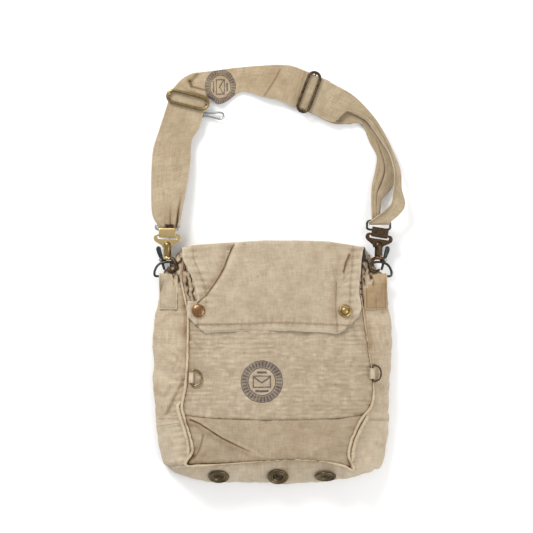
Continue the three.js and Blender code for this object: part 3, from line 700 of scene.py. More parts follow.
def gusset_relief(share, across):
    """How far the gussets stand out or dip: wrinkles, pulled folds at the tabs, crushed tops."""
    x, y = gusset_surface(share, across).xy
    run = share * 900
    h = crumple(x, y, 21.0, 40, 2.4) + crumple(x, y, 25.0, 14, 0.9)
    h += pucker(across * 40, run, 10.0, 1.3, 5, 23)
    if share < 0.27:
        slant = (x + 1.3 * y) / 8.5 + 1.2 * waver(x / 20, y / 20, 31)
        zone = smooth(y, -48, -20) * smooth(-y, -34, -6)
        h += 1.3 * zone * math.sin(slant)
        fan = math.atan2(y - 4, x + 106)
        ripples = math.sin(fan * 9 + 2.0 * waver(x / 8, y / 8, 45))
        h += 1.3 * hill(math.hypot(x + 106, y - 4) - 12, 10) * ripples
        h += step_fold(x, y, left_gusset_crease, 2.4, 1.8)
        h += ridge(x, y, [(-108, 22), (-108, 48), (-106, 74)], 2.0, 1.6)
        h += ridge(x, y, [(-117, 18), (-118, 46), (-114, 78)], 2.4, 1.6)
        h += pucker(math.hypot(x + 112, y + 22), math.atan2(y + 22, x + 112) * 12, 9, 1.6, 9, 24)
    if share > 0.68:
        h += ridge(x, y, [(120, 34), (122, 6), (126, -10)], 2.6, 1.4)
        h += ridge(x, y, [(112, 58), (122, 44), (138, 38)], 2.6, 1.5)
        h += ridge(x, y, [(124, -32), (130, -50), (139, -60)], 3.0, 0.8)
    for line in ([(-104, -121), (-114, -124), (-126, -127)], [(96, -128), (108, -130), (123, -130)]):
        h += ridge(x, y, line, 2.6, 2.4)
    gather = smooth(y, 74, 106)
    return h - gather * (2.4 * gathers(x, y) - 0.5)


def gusset_soil_and_shading(share, across):
    """How dark the gussets are: painted shade beside the binding, in their creases and gathers and beside the
    flap's right edge, darker at their cross seams, with blotches; the bottom strip is painted paler, as if
    better lit.
    """
    x, y = gusset_surface(share, across).xy
    # Painted shade beside the raised binding.
    dark = 0.8 * beside(across * 42, 1.7) + 0.15 * beside(across * 42, 10)
    # Painted light: the bottom strip is made paler, as if it caught more light.
    if 0.25 < share < 0.69:
        dark -= 0.22
    dark += ridge(x, y, [(-137.6, -68.5), (-111, -66.5)], 1.0, 0.7)
    dark += ridge(x, y, [(115, -68.5), (139, -70.4)], 1.0, 0.7)
    # Painted shade along the creases of the left gusset.
    dark += ridge(x, y, left_gusset_crease, 1.4, 0.5 + 0.5 * waver(x / 8, y / 8, 68))
    dark += (ridge(x, y, [(-136, 22), (-120, 10), (-108, -2)], 1.2, 0.3)
             + ridge(x, y, [(-137, 8), (-124, 0), (-110, -6)], 1.2, 0.25))
    dark += 0.25 * smooth(waver(x / 8, y / 15, 36), 0.1, 0.6)
    # Painted shadow: a strong dark line down the right gusset beside the flap's right edge.
    dark += ridge(x, y, [(108, 132), (106.8, 118), (105.6, 104), (104.6, 90), (105.2, 77), (108, 68)],
                  1.7, 2.2)
    # Darker along the upper left seam.
    dark += ridge(x, y, [(-104.5, 30), (-104.5, 60), (-106, 84)], 2.6, 0.35)
    # Painted shade in the valleys of the crushed cloth, painted highlight on its crests.
    folds = gathers(x, y)
    crushed = 0.05 + 2.2 * smooth(folds, 0.3, 1.0) - 0.4 * smooth(-folds, 0.3, 0.9)
    return dark + smooth(y, 80, 104) * crushed - 0.1


def gusset_piece(name, start, end, columns, flat):
    """One strip of the gussets, between two shares of the seams."""
    def point(u, v):
        return gusset_surface(mix(start, end, v), u)

    def nudge(u, v):
        share = mix(start, end, v)
        keep = math.sin(math.pi * min(max(u, 0), 1)) ** 0.35 if 0 < u < 1 else 0.15
        return -gusset_relief(share, u) * keep

    def soil_and_shading(u, v):
        return gusset_soil_and_shading(mix(start, end, v), u)

    return sheet_of(name, 44, columns, point, flat, soil_and_shading=soil_and_shading, nudge=nudge)


left_end, right_start = 9.25 / last, 23.0 / last
left_gusset = gusset_piece("left_gusset_cloth", 0.0, left_end, 130, (72, 205))
bottom_gusset = gusset_piece("bottom_gusset_cloth", left_end, right_start, 210, (66, 330))
right_gusset = gusset_piece("right_gusset_cloth", right_start, 1.0, 130, (72, 205))
for cloth, node, flat in ((left_gusset, "left_gusset", (0.07, 0.205)),
                          (bottom_gusset, "bottom_gusset", (0.066, 0.33)),
                          (right_gusset, "right_gusset", (0.066, 0.205))):
    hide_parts(node)


# ---------------------------------------------------------------- Seam binding
# The raw edges of front and gussets are rolled into a narrow canvas tape, sewn through, which
# stands up as a rounded welt. It doubles into a second welt round the two lower corners.

binding_canvas = canvas_material("binding canvas", (0.52, 0.42, 0.29, 1), (0.42, 0.33, 0.21, 1), brown_khaki,
                                 thread=0.5)


def outward(line, share):
    """Unit vector away from the sack's middle, square to a line round it."""
    step = (along(line, share + 0.002) - along(line, share - 0.002)).normalized()
    out = Vector((step.y, -step.x))
    return -out if out.dot(along(line, share)) < 0 else out


def welt(name, line, offset, wide, tall, lift, rows, flat, fade=0.0):
    """A rolled tape along a line round the front, offset outwards, open underneath."""
    def point(u, v):
        middle = along(line, v)
        out = outward(line, v)
        if fade:
            ends = max(0.15, smooth(v, 0, fade) * smooth(1 - v, 0, fade))
        else:
            # hardly raised along the bottom and up the right side, full at the lower corners
            ends = 1 - 0.35 * smooth(-v, -0.2, -0.12) - 0.6 * smooth(v, 0.385, 0.41) * smooth(-v, -0.53, -0.5)
            ends -= 0.62 * smooth(v, 0.71, 0.76)
        shift = offset + 0.35 * waver(v * 60, 4, offset)
        turn = mix(-0.22, 1.22, u) * math.pi
        puff = 1 + 0.16 * waver(v * 150, u * 2, offset)
        reach = shift * ends + 0.5 * wide * ends * puff * math.cos(turn)
        height = front_height(middle.y) + lift + tall * ends * puff * math.sin(turn)
        return Vector((middle.x + out.x * reach, middle.y + out.y * reach, height))

    def soil_and_shading(u, v):
        welt_darkening = 0.35 * smooth(waver(v * 70, 9, offset), 0.1, 0.6)
        if not fade:
            # Darker near the top of the left side, along the bottom and up the right side.
            welt_darkening += (0.9 * smooth(-v, -0.075, -0.045)
                      + 0.4 * smooth(v, 0.385, 0.41) * smooth(-v, -0.53, -0.5)
                      + 0.3 * smooth(v, 0.71, 0.76))
        # Painted highlight along the welt's crest and painted shade down its sides.
        return welt_darkening - 0.35 * hill(u - 0.5, 0.16) + 0.45 * abs(2 * u - 1) ** 5

    made = sheet_of(name, 14, rows, point, in_mm(flat), thick=0.7,
                    finish=binding_canvas, slot="binding", soil_and_shading=soil_and_shading)
    return made


seam_welt = welt("front_welt", front_seam, 1.2, 3.0, 1.9, -0.9, 560, (0.0102, 0.78))
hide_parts("front_seam_binding")
corner_left = spots((-106, -44), (-107.5, -53), (-104, -67), (-98.6, -84), (-95, -105), (-103, -121))
corner_right = spots((93, -127), (89, -111), (91.5, -95), (97, -81), (105, -66), (116, -52))
welt("corner_welt_left", corner_left, 6.2, 4.2, 2.6, -2.4, 90, (0.0102, 0.088), fade=0.2)
welt("corner_welt_right", corner_right, 6.4, 4.4, 2.6, -2.4, 90, (0.0102, 0.082), fade=0.2)


# ---------------------------------------------------------------- Flap
# The flap is the back cloth carried over the mouth: a strip up the top edge, then one hemmed
# piece with its lower corners cut off. The hem is turned under about 11 mm, stitched, and
# drawn up into small gathers. A long slanting fold crosses the flap's left side.

flap_canvas = canvas_material("flap canvas", (0.475, 0.398, 0.29, 1), (0.385, 0.315, 0.218, 1), brown_khaki)


def strip_point(u, v):
    x = mix(-107, 107, u)
    z = mix(0.9, 27.5, v)
    return Vector((x, line_y(top_edge, x) - 1.6 + 1.0 * math.sin(math.pi * min(v, 0.9)), z))


def strip_nudge(u, v):
    return 0.5 * math.sin(math.pi * v) * waver(u * 14, v * 3, 41)


strip = sheet_of("flap_strip_cloth", 120, 18, strip_point, (214, 27), nudge=strip_nudge, finish=flap_canvas,
                 rides=None)
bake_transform(strip)
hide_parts("flap_top")

flap_left_edge = spots(
    (-108.8, 136.5), (-107.4, 122.5), (-101, 110), (-94.8, 97), (-92.2, 84), (-91.2, 76), (-92.5, 73.2),
    (-101, 73.6), (-102.4, 71), (-102, 62), (-101.8, 54.5))
flap_right_edge = spots(
    (108.8, 136.5), (108, 131), (107.2, 125), (105.5, 112.6), (104, 103), (103.4, 94), (103, 86),
    (103.2, 79), (105.2, 71), (105.5, 64), (102, 54.8))
flap_low_edge = (
    (-101.8, 54.5), (-81.3, 34.6), (-58, 35.8), (-34, 36.9), (-6, 38.2), (22, 38.2), (50, 36.4),
    (79.6, 34.6), (102, 54.8))


def flap_edge(points, u):
    """The top or lower edge at a share of the flap's width."""
    x = mix(points[0][0], points[-1][0], u)
    return Vector((x, line_y(points, x)))


flap_top_edge = ((-108.8, 136.5),) + top_edge[1:-1] + ((108.8, 136.5),)


def flap_plan(u, v):
    """Where the flap lies in plan, filled in smoothly between its four edges."""
    top, low = flap_edge(flap_top_edge, u), flap_edge(flap_low_edge, u)
    left, right = along(flap_left_edge, v), along(flap_right_edge, v)
    corners = ((1 - u) * (1 - v) * flap_left_edge[0] + u * (1 - v) * flap_right_edge[0]
               + (1 - u) * v * flap_left_edge[-1] + u * v * flap_right_edge[-1])
    return (1 - v) * top + v * low + (1 - u) * left + u * right - corners


slanting_fold = [
    (-46.5, 141), (-50, 134), (-54, 124), (-57.5, 114), (-63.6, 102.7), (-70.5, 91.9), (-79.2, 80.2),
    (-90, 71.5)]


flap_wide = 196
hem_deep = 11.5
stud_places = ((-89, 61.8), (86.2, 61.8))


def round_studs(x, y, area):
    """Two round hollows or stains, one at each press stud."""
    return [math.exp(-((x - cx) ** 2 + (y - cy) ** 2) / area) for cx, cy in stud_places]


def flap_height(u, v, y):
    """Height of the flap, which thins out towards its hemmed edges."""
    hem = min(1.0, flap_wide * u / 3, flap_wide * (1 - u) / 3, 100 * (1 - v) / 3)
    rise = 3.6 + 1.6 * math.sin(math.pi * u) ** 0.6 * (0.4 + 0.6 * v) - 1.6 * (1 - hem)
    return front_height(y) + rise


def flap_point(u, v):
    roll = 0.1
    if v >= roll:
        plan = flap_plan(u, (v - roll) / (1 - roll) * 0.955 + 0.045)
        return Vector((plan.x, plan.y, flap_height(u, v, plan.y)))
    plan, start = flap_plan(u, 0.0), flap_plan(u, 0.045)
    t = v / roll
    top = flap_height(u, roll, start.y)
    # over the top edge: up the strip, round, and down to the flap
    points = (Vector((plan.x, plan.y + 0.1, 23.5)), Vector((plan.x, plan.y + 1.0, 28.5)),
              Vector((plan.x, plan.y + 1.0, top + 0.6)), Vector((start.x, start.y, top)))
    a, b, c, d = (1 - t) ** 3, 3 * (1 - t) ** 2 * t, 3 * (1 - t) * t * t, t ** 3
    return a * points[0] + b * points[1] + c * points[2] + d * points[3]


def hem_lines(u, v):
    """Distances, in millimetres, inside the left, right and lower hem stitching."""
    place = flap_point(u, v)
    low = place.y - line_y(((-90, 36), (-34, 36.9), (-6, 38.2), (22, 38.2), (90, 35)), place.x) - 10
    return flap_wide * u - hem_deep, flap_wide * (1 - u) - hem_deep, low


def flap_nudge(u, v):
    """The slanting fold, the hem with its gathers, and the hollows at the studs."""
    x, y = flap_point(u, v).xy
    h = crumple(x, y, 51.0, 52, 2.2) + crumple(x, y, 55.0, 19, 0.9)
    h += step_fold(x, y, slanting_fold, 2.6, -2.6) * smooth(y, 66, 84)
    h += ridge(x, y, shifted(slanting_fold, 5, 1.5), 3.4, 1.4)
    h += ridge(x, y, [(-28, 136), (-34, 112), (-48, 88), (-60, 66)], 5.0, 0.5)
    h += step_fold(x, y, [(69, 120), (75, 94.7), (74, 68.8), (76, 37)], 2.4, 1.2)
    h += step_fold(x, y, [(92, 130), (86, 112.6), (84, 98)], 2.0, 1.6)
    h -= ridge(x, y, [(-78, 124), (-84, 104), (-84, 90)], 3.5, 0.9)
    left, right, low = hem_lines(u, v)
    for near, run, seed, much in ((left, y, 61, 0.9), (right, y, 62, 1.0), (low, x, 63, 1.2)):
        h += 0.55 * smooth(-near, 0, 1.6)
        h -= 0.8 * hill(near, 0.9)
        inner = 1.0 if seed != 63 else 0.45 + 0.55 * hill(x + 5, 45)
        h += pucker(near, run, 8.8, much * inner, 6.5, seed)
    first, second = round_studs(x, y, 90)
    h -= 1.3 * first + 1.3 * second
    return h * smooth(v, 0.0, 0.12)


def flap_soil_and_shading(u, v):
    """Painted shade in the folds, the hem stitching and the hollows at the studs; worn pale at the edges,
    with painted highlight on the lit side of the slanting fold.
    """
    x, y = flap_point(u, v).xy
    left, right, low = hem_lines(u, v)
    # Painted shade in the grooves of the hem stitching.
    dark = sum(0.45 * hill(near, 0.8) for near in (left, right, low)) + 0.08
    # Painted shade along the flap's folds and on their shaded sides.
    dark += (ridge(x, y, [(91, 129), (87, 120), (84, 108)], 1.1, 1.2)
             + ridge(x, y, [(80, 128), (76, 112), (76, 92)], 3.0, 0.25))
    dark += (ridge(x, y, slanting_fold, 1.0, 1.5 + 0.7 * waver(x / 9, y / 9, 66))
             + ridge(x, y, shifted(slanting_fold, -3.5, -1.2), 4.5, 0.3))
    dark += (ridge(x, y, [(-57, 76), (-58, 60), (-62, 42)], 5.0, 0.1)
             + ridge(x, y, [(73, 94), (72, 62), (74, 40)], 4.0, 0.25))
    dark += ridge(x, y, [(75.6, 94.7), (74.6, 68.8), (76.6, 37)], 0.9, 0.35)
    # Painted shade in the hollows at the studs.
    first, second = round_studs(x, y, 60)
    dark += 0.25 * first + 0.25 * second
    edge = min(flap_wide * u, flap_wide * (1 - u), 103 * (1 - v))
    # Pale along the worn edges, and a painted highlight on the lit side of the slanting fold.
    worn_and_lit = 0.95 * beside(edge, 1.6) + ridge(x, y, shifted(slanting_fold, 4.0, 1.6), 2.4, 0.4)
    return dark - worn_and_lit


flap = sheet_of("flap_cloth", 210, 124, flap_point, (212, 122), thick=1.3, finish=flap_canvas,
                soil_and_shading=flap_soil_and_shading, nudge=flap_nudge, rides=None)
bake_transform(flap)
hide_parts("flap")


# ---------------------------------------------------------------- Stitching
# The flap's hem and the seam under the front panel show rows of stitches in pale linen thread,
# seven to the inch in the hem and nine in the seam.

thread, thread_tree, thread_shader = start_material("linen thread")
thread_where = put(thread_tree, "ShaderNodeTexCoord").outputs["Object"]
thread_noise = speckle(thread_tree, thread_where, 700, 3)
thread_tree.links.new(blend_colour(thread_tree, between(thread_tree, thread_noise, 0.35, 0.65),
                      (0.36, 0.28, 0.17, 1), (0.62, 0.52, 0.37, 1)), thread_shader.inputs["Base Color"])
thread_shader.inputs["Roughness"].default_value = 0.85


def stitch_row(name, places, rides, pitch=3.4, long=1.15, thick=0.24):
    """Short threads laid end to end along a line of places, in millimetres."""
    bm = bmesh.new()
    due = 0.0
    for here, there in zip(places, places[1:]):
        step = there - here
        due += step.length
        if due < pitch:
            continue
        due -= pitch
        made = bmesh.ops.create_icosphere(bm, subdivisions=1, radius=1)
        turn = step.to_track_quat("X", "Z").to_matrix().to_4x4()
        size = Matrix.Diagonal((long, thick, thick, 1))
        bmesh.ops.transform(bm, matrix=Matrix.Translation(here) @ turn @ size, verts=made["verts"])
    bmesh.ops.scale(bm, vec=(mm, mm, mm), verts=bm.verts)
    return finish_mesh(name, bm, thread, "canvas", rides)


def on_cloth(surface, nudge, shares, proud=0.7):
    """Places on a sheet's upper face at the given (u, v) shares."""
    places = []
    for u, v in shares:
        normal, lift = square_to(surface, u, v), nudge(u, v)
        if normal.z < 0:
            normal, lift = -normal, -lift
        places.append(surface(u, v) + normal * (lift + proud))
    return places


def hem_share(u):
    """How far down the flap the hem's stitching lies at a share of its width."""
    return halved(0.6, 1.0, 14, lambda share: hem_lines(u, share)[2] > 0)[0]


lower_hem = [(u, hem_share(u)) for u in (mix(0.075, 0.925, i / 500) for i in range(501))]
side_share = hem_deep / flap_wide
stitch_row("hem_stitches_low", on_cloth(flap_point, flap_nudge, lower_hem), "flap")
for side, u in (("left", side_share), ("right", 1 - side_share)):
    side_hem = [(u, mix(0.2, 0.93, i / 300)) for i in range(301)]
    stitch_row(f"hem_stitches_{side}", on_cloth(flap_point, flap_nudge, side_hem), "flap")
band_seam = [(mix(0.02, 0.98, i / 600), 0.955) for i in range(601)]
stitch_row("band_stitches", on_cloth(band_point, band_nudge, band_seam), "sack", 2.7, 0.9, 0.2)


# ---------------------------------------------------------------- Press studs
# Two brass press studs hold the flap's corners down. Each is a drawn cap through the flap with
# its socket under it, and a stud and post in the front. One cap has worn to copper.

def metal(name, bright, dull, worn, shine, tarnish=0.5, scale=260):
    """Old metal: bright where it is handled, clouded dull by age and specked where it has worn;
    shine is its least roughness."""
    made, tree, shader = start_material(name)
    where = put(tree, "ShaderNodeTexCoord").outputs["Object"]
    specks = speckle(tree, where, scale * 4.5, 3)
    age = between(tree, speckle(tree, where, scale, 5, 0.65), 0.62 - 0.3 * tarnish, 0.76 - 0.2 * tarnish)
    shade = blend_colour(tree, age, bright, dull)
    shade = blend_colour(tree, between(tree, specks, 0.58, 0.75, 0, 0.55), shade, worn)
    tree.links.new(shade, shader.inputs["Base Color"])
    rough = between(tree, calc(tree, "ADD", age, specks), 0.4, 1.6, shine, shine + 0.34)
    tree.links.new(rough, shader.inputs["Roughness"])
    shader.inputs["Metallic"].default_value = 1.0
    tree.links.new(bumped(tree, 0.25, 0.12, specks), shader.inputs["Normal"])
    return made


copper = metal("worn copper", (0.28, 0.15, 0.07, 1), (0.15, 0.075, 0.035, 1), (0.09, 0.05, 0.03, 1), 0.28)
gold_brass = metal("bright brass", (0.62, 0.47, 0.23, 1), (0.36, 0.25, 0.1, 1), (0.17, 0.11, 0.05, 1), 0.25)
brass = metal("aged brass", (0.28, 0.2, 0.085, 1), (0.13, 0.095, 0.042, 1), (0.09, 0.06, 0.03, 1), 0.3)
bronze = metal("dark bronze", (0.09, 0.06, 0.034, 1), (0.03, 0.021, 0.015, 1), (0.18, 0.125, 0.06, 1), 0.36)
steel = metal("dull steel", (0.4, 0.42, 0.42, 1), (0.24, 0.24, 0.22, 1), (0.12, 0.1, 0.07, 1), 0.3, 0.3)
dark_steel = metal("dark steel", (0.06, 0.07, 0.065, 1), (0.02, 0.028, 0.03, 1), (0.14, 0.11, 0.07, 1), 0.35)


def repaint(node, finish):
    """Gives a carried-over node a finish."""
    thing = bpy.data.objects[node]
    if not thing.data.materials:
        thing.data.materials.append(finish)
    for place in thing.material_slots:
        place.material = finish


def spun(outline, steps):
    """A bmesh of an outline of (radius, height) points spun round Z."""
    bm = bmesh.new()
    points = [bm.verts.new((radius, 0, height)) for radius, height in outline]
    edges = [bm.edges.new(pair) for pair in zip(points, points[1:])]
    bmesh.ops.spin(bm, geom=points + edges, cent=(0, 0, 0), axis=(0, 0, 1), angle=2 * math.pi,
                   steps=steps, use_merge=True)
    bmesh.ops.remove_doubles(bm, verts=bm.verts, dist=1e-4)
    return bm


def seated(name, bm, matrix, finish, slot, rides):
    """A piece made in millimetres and put in its place."""
    bmesh.ops.recalc_face_normals(bm, faces=bm.faces)
    bmesh.ops.transform(bm, matrix=Matrix.Scale(mm, 4) @ matrix, verts=bm.verts)
    return finish_mesh(name, bm, finish, slot, rides)


def turned(name, outline, matrix, finish, slot, rides, steps=48):
    """A lathe-turned piece."""
    return seated(name, spun(outline, steps), matrix, finish, slot, rides)


def lying(x, y, z, lean_x=0.0, lean_y=0.0, turn=0.0):
    """A place in millimetres, with leans about X and Y and a turn about Z in degrees."""
    spun = (Matrix.Rotation(math.radians(turn), 4, "Z") @ Matrix.Rotation(math.radians(lean_y), 4, "Y")
            @ Matrix.Rotation(math.radians(lean_x), 4, "X"))
    return Matrix.Translation((x, y, z)) @ spun


cap_brass = metal("cap brass", (0.42, 0.3, 0.12, 1), (0.2, 0.14, 0.06, 1), (0.1, 0.07, 0.035, 1), 0.28)
dome = [
    (0, -1.4), (7.2, -1.4), (7.75, -1.0), (7.8, -0.3), (7.3, 0.35), (6.2, 0.95), (4.4, 1.5), (2.2, 1.85),
    (0, 1.95)]
ringed = [
    (0, -1.4), (7.2, -1.4), (7.75, -1.0), (7.8, -0.2), (7.3, 0.55), (6.6, 0.8), (5.9, 0.5), (5.4, -0.7),
    (4.8, -0.8), (4.3, 0.1), (3.4, 1.15), (2.0, 1.6), (0, 1.75)]
for side, x, outline, finish, slot in (("left", -89.0, dome, copper, "copper"),
                                       ("right", 86.0, ringed, cap_brass, "gold_brass")):
    cap = turned(f"stud_cap_{side}", outline, lying(x, 61.8, front_height(61.8) + 6.4, lean_x=-3.4),
                 finish, slot, "flap")
    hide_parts(f"snap_cap_{side}")
    for part in ("socket", "stud", "post"):
        repaint(f"snap_{part}_{side}", brass)


# ---------------------------------------------------------------- Vents
# Three bronze eyelets in the bottom gusset let air and water out. Each is a stepped ring with a
# ridged plate across its bore, which has a boss and six small studs, clinched to a washer inside.

vent_bronze = metal("vent bronze", (0.13, 0.095, 0.05, 1), (0.06, 0.043, 0.025, 1), (0.035, 0.025, 0.017, 1),
                    0.34, 0.45, 60)
screen_bronze = metal("screen bronze", (0.075, 0.054, 0.034, 1), (0.032, 0.024, 0.017, 1),
                      (0.02, 0.015, 0.011, 1), 0.4, 0.45, 60)
rim = [
    (5.4, -1.8), (12.4, -1.6), (12.7, -0.6), (12.2, 0.5), (11.2, 0.95), (10.1, 0.6), (9.3, -0.7),
    (8.5, -0.8), (7.8, 0.3), (7.0, 0.6), (6.3, 0.1), (5.8, -1.2), (5.4, -1.5), (5.4, -1.8)]
disc = [
    (0, 0.3), (2.9, 0.3), (3.2, -0.1), (3.6, -0.1), (3.9, 0.45), (4.5, 0.45), (4.8, -0.3), (5.5, -0.4),
    (5.5, -1.1), (0, -1.1)]
for number, lean, proud in ((1, 52, 2.2), (2, 44, 3.0), (3, 62, 1.6)):
    corner_low, corner_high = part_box(f"vent_grommet_{number}")
    middle = (corner_low + corner_high) / 2 / mm
    seat = lying(middle.x, middle.y + 0.6, middle.z + proud, lean_x=lean)
    ring = turned(f"vent_ring_{number}", rim, seat, vent_bronze, "bronze", "sack", 64)
    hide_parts(f"vent_grommet_{number}")
    bm = spun(disc, 42)
    boss = bmesh.ops.create_cone(bm, cap_ends=True, segments=6, radius1=2.3, radius2=1.9, depth=0.9)
    bmesh.ops.translate(bm, verts=boss["verts"], vec=(0, 0, 0.7))
    for spot in range(6):
        turn = math.radians(60 * spot + 30)
        bump = bmesh.ops.create_cone(bm, cap_ends=True, segments=8, radius1=0.5, radius2=0.35, depth=0.5)
        bmesh.ops.translate(bm, verts=bump["verts"], vec=(2.65 * math.cos(turn), 2.65 * math.sin(turn), 0.5))
    grid_plate = seated(f"vent_plate_{number}", bm, seat @ Matrix.Translation((0, 0, -0.4)), screen_bronze,
                        "dark_steel", "sack")
    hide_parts(f"vent_screen_{number}")
    repaint(f"vent_washer_{number}", bronze)


# ---------------------------------------------------------------- Small rings
# A bent-wire D-ring hangs on a short canvas tab sewn into each side seam at mid height.

def wire(name, points, radius, finish, slot, rides, closed=False, fine=6):
    """Round wire bent through points, in millimetres, with a smooth curve between them."""
    path = bpy.data.curves.new(name, "CURVE")
    path.dimensions = "3D"
    path.bevel_depth = radius * mm
    path.bevel_resolution = 4
    path.resolution_u = fine
    path.use_fill_caps = True
    line = path.splines.new("BEZIER")
    line.bezier_points.add(len(points) - 1)
    line.use_cyclic_u = closed
    for knot, place in zip(line.bezier_points, points):
        knot.co = Vector(place[:3]) * mm
        knot.radius = place[3] if len(place) > 3 else 1.0
        knot.handle_left_type = knot.handle_right_type = "AUTO"
    bent = bpy.data.objects.new(name + "_path", path)
    bpy.context.scene.collection.objects.link(bent)
    bpy.context.view_layer.update()
    data = bpy.data.meshes.new_from_object(bent.evaluated_get(bpy.context.evaluated_depsgraph_get()))
    bpy.data.objects.remove(bent)
    bm = bmesh.new()
    bm.from_mesh(data)
    bpy.data.meshes.remove(data)
    bmesh.ops.remove_doubles(bm, verts=bm.verts, dist=1e-6)
    bmesh.ops.recalc_face_normals(bm, faces=bm.faces)
    return finish_mesh(name, bm, finish, slot, rides)


def d_points(half, depth, matrix):
    """A D's points: a straight bar along Y at x = 0 and a bow out to x = depth."""
    flat = [(0, -half + 3.0), (0.5, -half + 0.9), (2.6, -half)]
    for t in range(30, 151, 15):
        s, c = math.sin(math.radians(t)), math.cos(math.radians(t))
        flat.append((depth * s ** 0.8, -half * signed_power(c, 0.85)))
    flat += [(2.6, half), (0.5, half - 0.9), (0, half - 3.0), (0, 0)]
    return [matrix @ Vector((x, y, 0)) for x, y in flat]


def tab_sheet(name, width, reach, radius, matrix, rides, slot, finish, flat):
    """A short tape tab folded round a bar that lies along Y at the matrix's origin."""
    def point(u, v):
        y = mix(width / 2, -width / 2, u)
        turn = math.pi * radius
        run = mix(0, 2 * reach + turn, v)
        if run < reach:
            spot = Vector((run - reach, y, -radius))
        elif run > reach + turn:
            spot = Vector((reach + turn - run, y, radius))
        else:
            angle = (run - reach) / radius
            spot = Vector((math.sin(angle) * radius, y, -math.cos(angle) * radius))
        spot.z += 0.25 * waver(u * 4, v * 5, width)
        return matrix @ spot

    made = sheet_of(name, 20, 36, point, in_mm(flat), thick=0.9, finish=finish,
                    slot=slot, rides=rides, soil_and_shading=lambda u, v: 0.5 * (2 * u - 1) ** 8)
    return made


pale_canvas = canvas_material("pale tape canvas", (0.6, 0.5, 0.36, 1), (0.5, 0.4, 0.27, 1), brown_khaki,
                              thread=0.5)
tab_lean = math.degrees(math.atan2(-15, 252))
ring_seats = {
    "left": lying(-97, -18, front_height(-18) + 3.5, lean_x=tab_lean),
    "right": lying(119, -13, front_height(-13) + 1.6, lean_y=22),
}
for side, finish, slot in (("left", brass, "steel"), ("right", bronze, "bronze")):
    ring = wire(f"small_d_{side}", d_points(9.6, 12 if side == "left" else 11, ring_seats[side]), 1.05,
                finish, slot, f"small_ring_{side}", closed=True)
    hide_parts(f"small_ring_{side}")
    reach = 3.2 if side == "left" else 4.0
    tab = tab_sheet(f"small_tab_{side}", 13, reach, 1.9, ring_seats[side], "sack", "binding", pale_canvas,
                    (0.013, (2 * reach + 6) * mm))
    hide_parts(f"small_ring_tab_{side}")


# ---------------------------------------------------------------- Ring tabs and D-rings
# A folded canvas tab stitched to the top of each side gusset holds a wire D-ring for the sling.

ring_x, ring_y, ring_z = 127, 103, 17


def ring_tab_piece(side, sign, finish):
    """A cloth tab from the gusset up round the D-ring's bar; sign is -1 on the left."""
    loop = 2.6
    upper = ring_y - 63.0
    turn = math.pi * loop

    rows = []
    for y in range(60, 106):
        if sign < 0:
            share = crossing(left_seam, 1, y, False) * 12 / last
        else:
            share = (19 + crossing(right_seam, 1, y, True) * (last - 19)) / last
        rows.append([gusset_surface(share, k / 40) for k in range(30)])

    def cloth_top(x, y):
        """Height of the gusset under the tab."""
        row = rows[min(max(int(round(y)) - 60, 0), 45)]
        for inner, outer in zip(row, row[1:]):
            if abs(outer.x) <= abs(inner.x):
                return inner.z
            if abs(outer.x) >= abs(x):
                return mix(inner.z, outer.z, (abs(x) - abs(inner.x)) / (abs(outer.x) - abs(inner.x)))
        return row[-1].z

    def point(u, v):
        run = mix(0, upper + turn + 3, v)
        spread = mix(-1, 1, u)
        patch = 1 - smooth(run, 26, 42)
        half = 11.0 + (3.0 * patch if side == "right" else 0.0)
        x = sign * 126 + spread * half - (2.6 * patch if side == "right" else 0.0)
        if run <= upper:
            y = 63 + run
            height = mix(cloth_top(x, y) + 1.7, ring_z + loop, smooth(y, 84, 101))
            return Vector((x, y, max(height, 6)))
        if run >= upper + turn:
            return Vector((x, ring_y - (run - upper - turn), ring_z - loop))
        angle = (run - upper) / loop
        return Vector((x, ring_y + math.sin(angle) * loop, ring_z + math.cos(angle) * loop))

    def nudge(u, v):
        fold = -1.3 * hill(u - 0.52, 0.05) * smooth(v, 0.6, 0.2) if side == "right" else 0.0
        return fold - 0.6 * waver(u * 3, v * 5, sign * 3)

    def soil_and_shading(u, v):
        edge = min(u * 22, (1 - u) * 22, v * 50)
        stitched = 0.55 * hill(edge - 2, 0.5)
        return stitched + (0.45 * smooth(v, 0.66, 0.6) if side == "right" else 0.05) - 0.4 * beside(edge, 0.8)

    made = sheet_of(f"ring_tab_cloth_{side}", 36, 80, point, (22, 51), soil_and_shading=soil_and_shading, nudge=nudge, finish=finish,
                    slot="binding")
    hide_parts(f"ring_tab_{side}")


ring_tab_piece("left", -1, flap_canvas)
ring_tab_piece("right", 1, canvas_material("brown tab canvas", (0.46, 0.34, 0.2, 1), (0.36, 0.26, 0.145, 1),
                                           brown_khaki))
for side, sign in (("left", -1), ("right", 1)):
    seat = Matrix.Translation((sign * ring_x, ring_y, ring_z)) @ Matrix.Rotation(math.pi / 2, 4, "Z")
    ring = wire(f"sling_d_{side}", d_points(15.5, 17, seat), 1.45, dark_steel, "dark_steel", f"d_ring_{side}",
                closed=True)
    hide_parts(f"d_ring_{side}")


# ---------------------------------------------------------------- Swivel hooks
# Each snap hook is a cast brass jaw closed by a sprung lever, on a shank that turns in the
# barrel of a slotted plate. One is bright brass, the other has gone dark.

hook_lean = math.radians(-30)


def hook_place(sign, tilted):
    """The hook's own frame: its X points to the sack's middle and its Y up the strap."""
    lean = Matrix.Rotation(hook_lean, 4, "Y") if tilted else Matrix.Identity(4)
    return Matrix.Translation((sign * ring_x, ring_y, ring_z - 1)) @ Matrix.Diagonal((-sign, 1, 1, 1)) @ lean


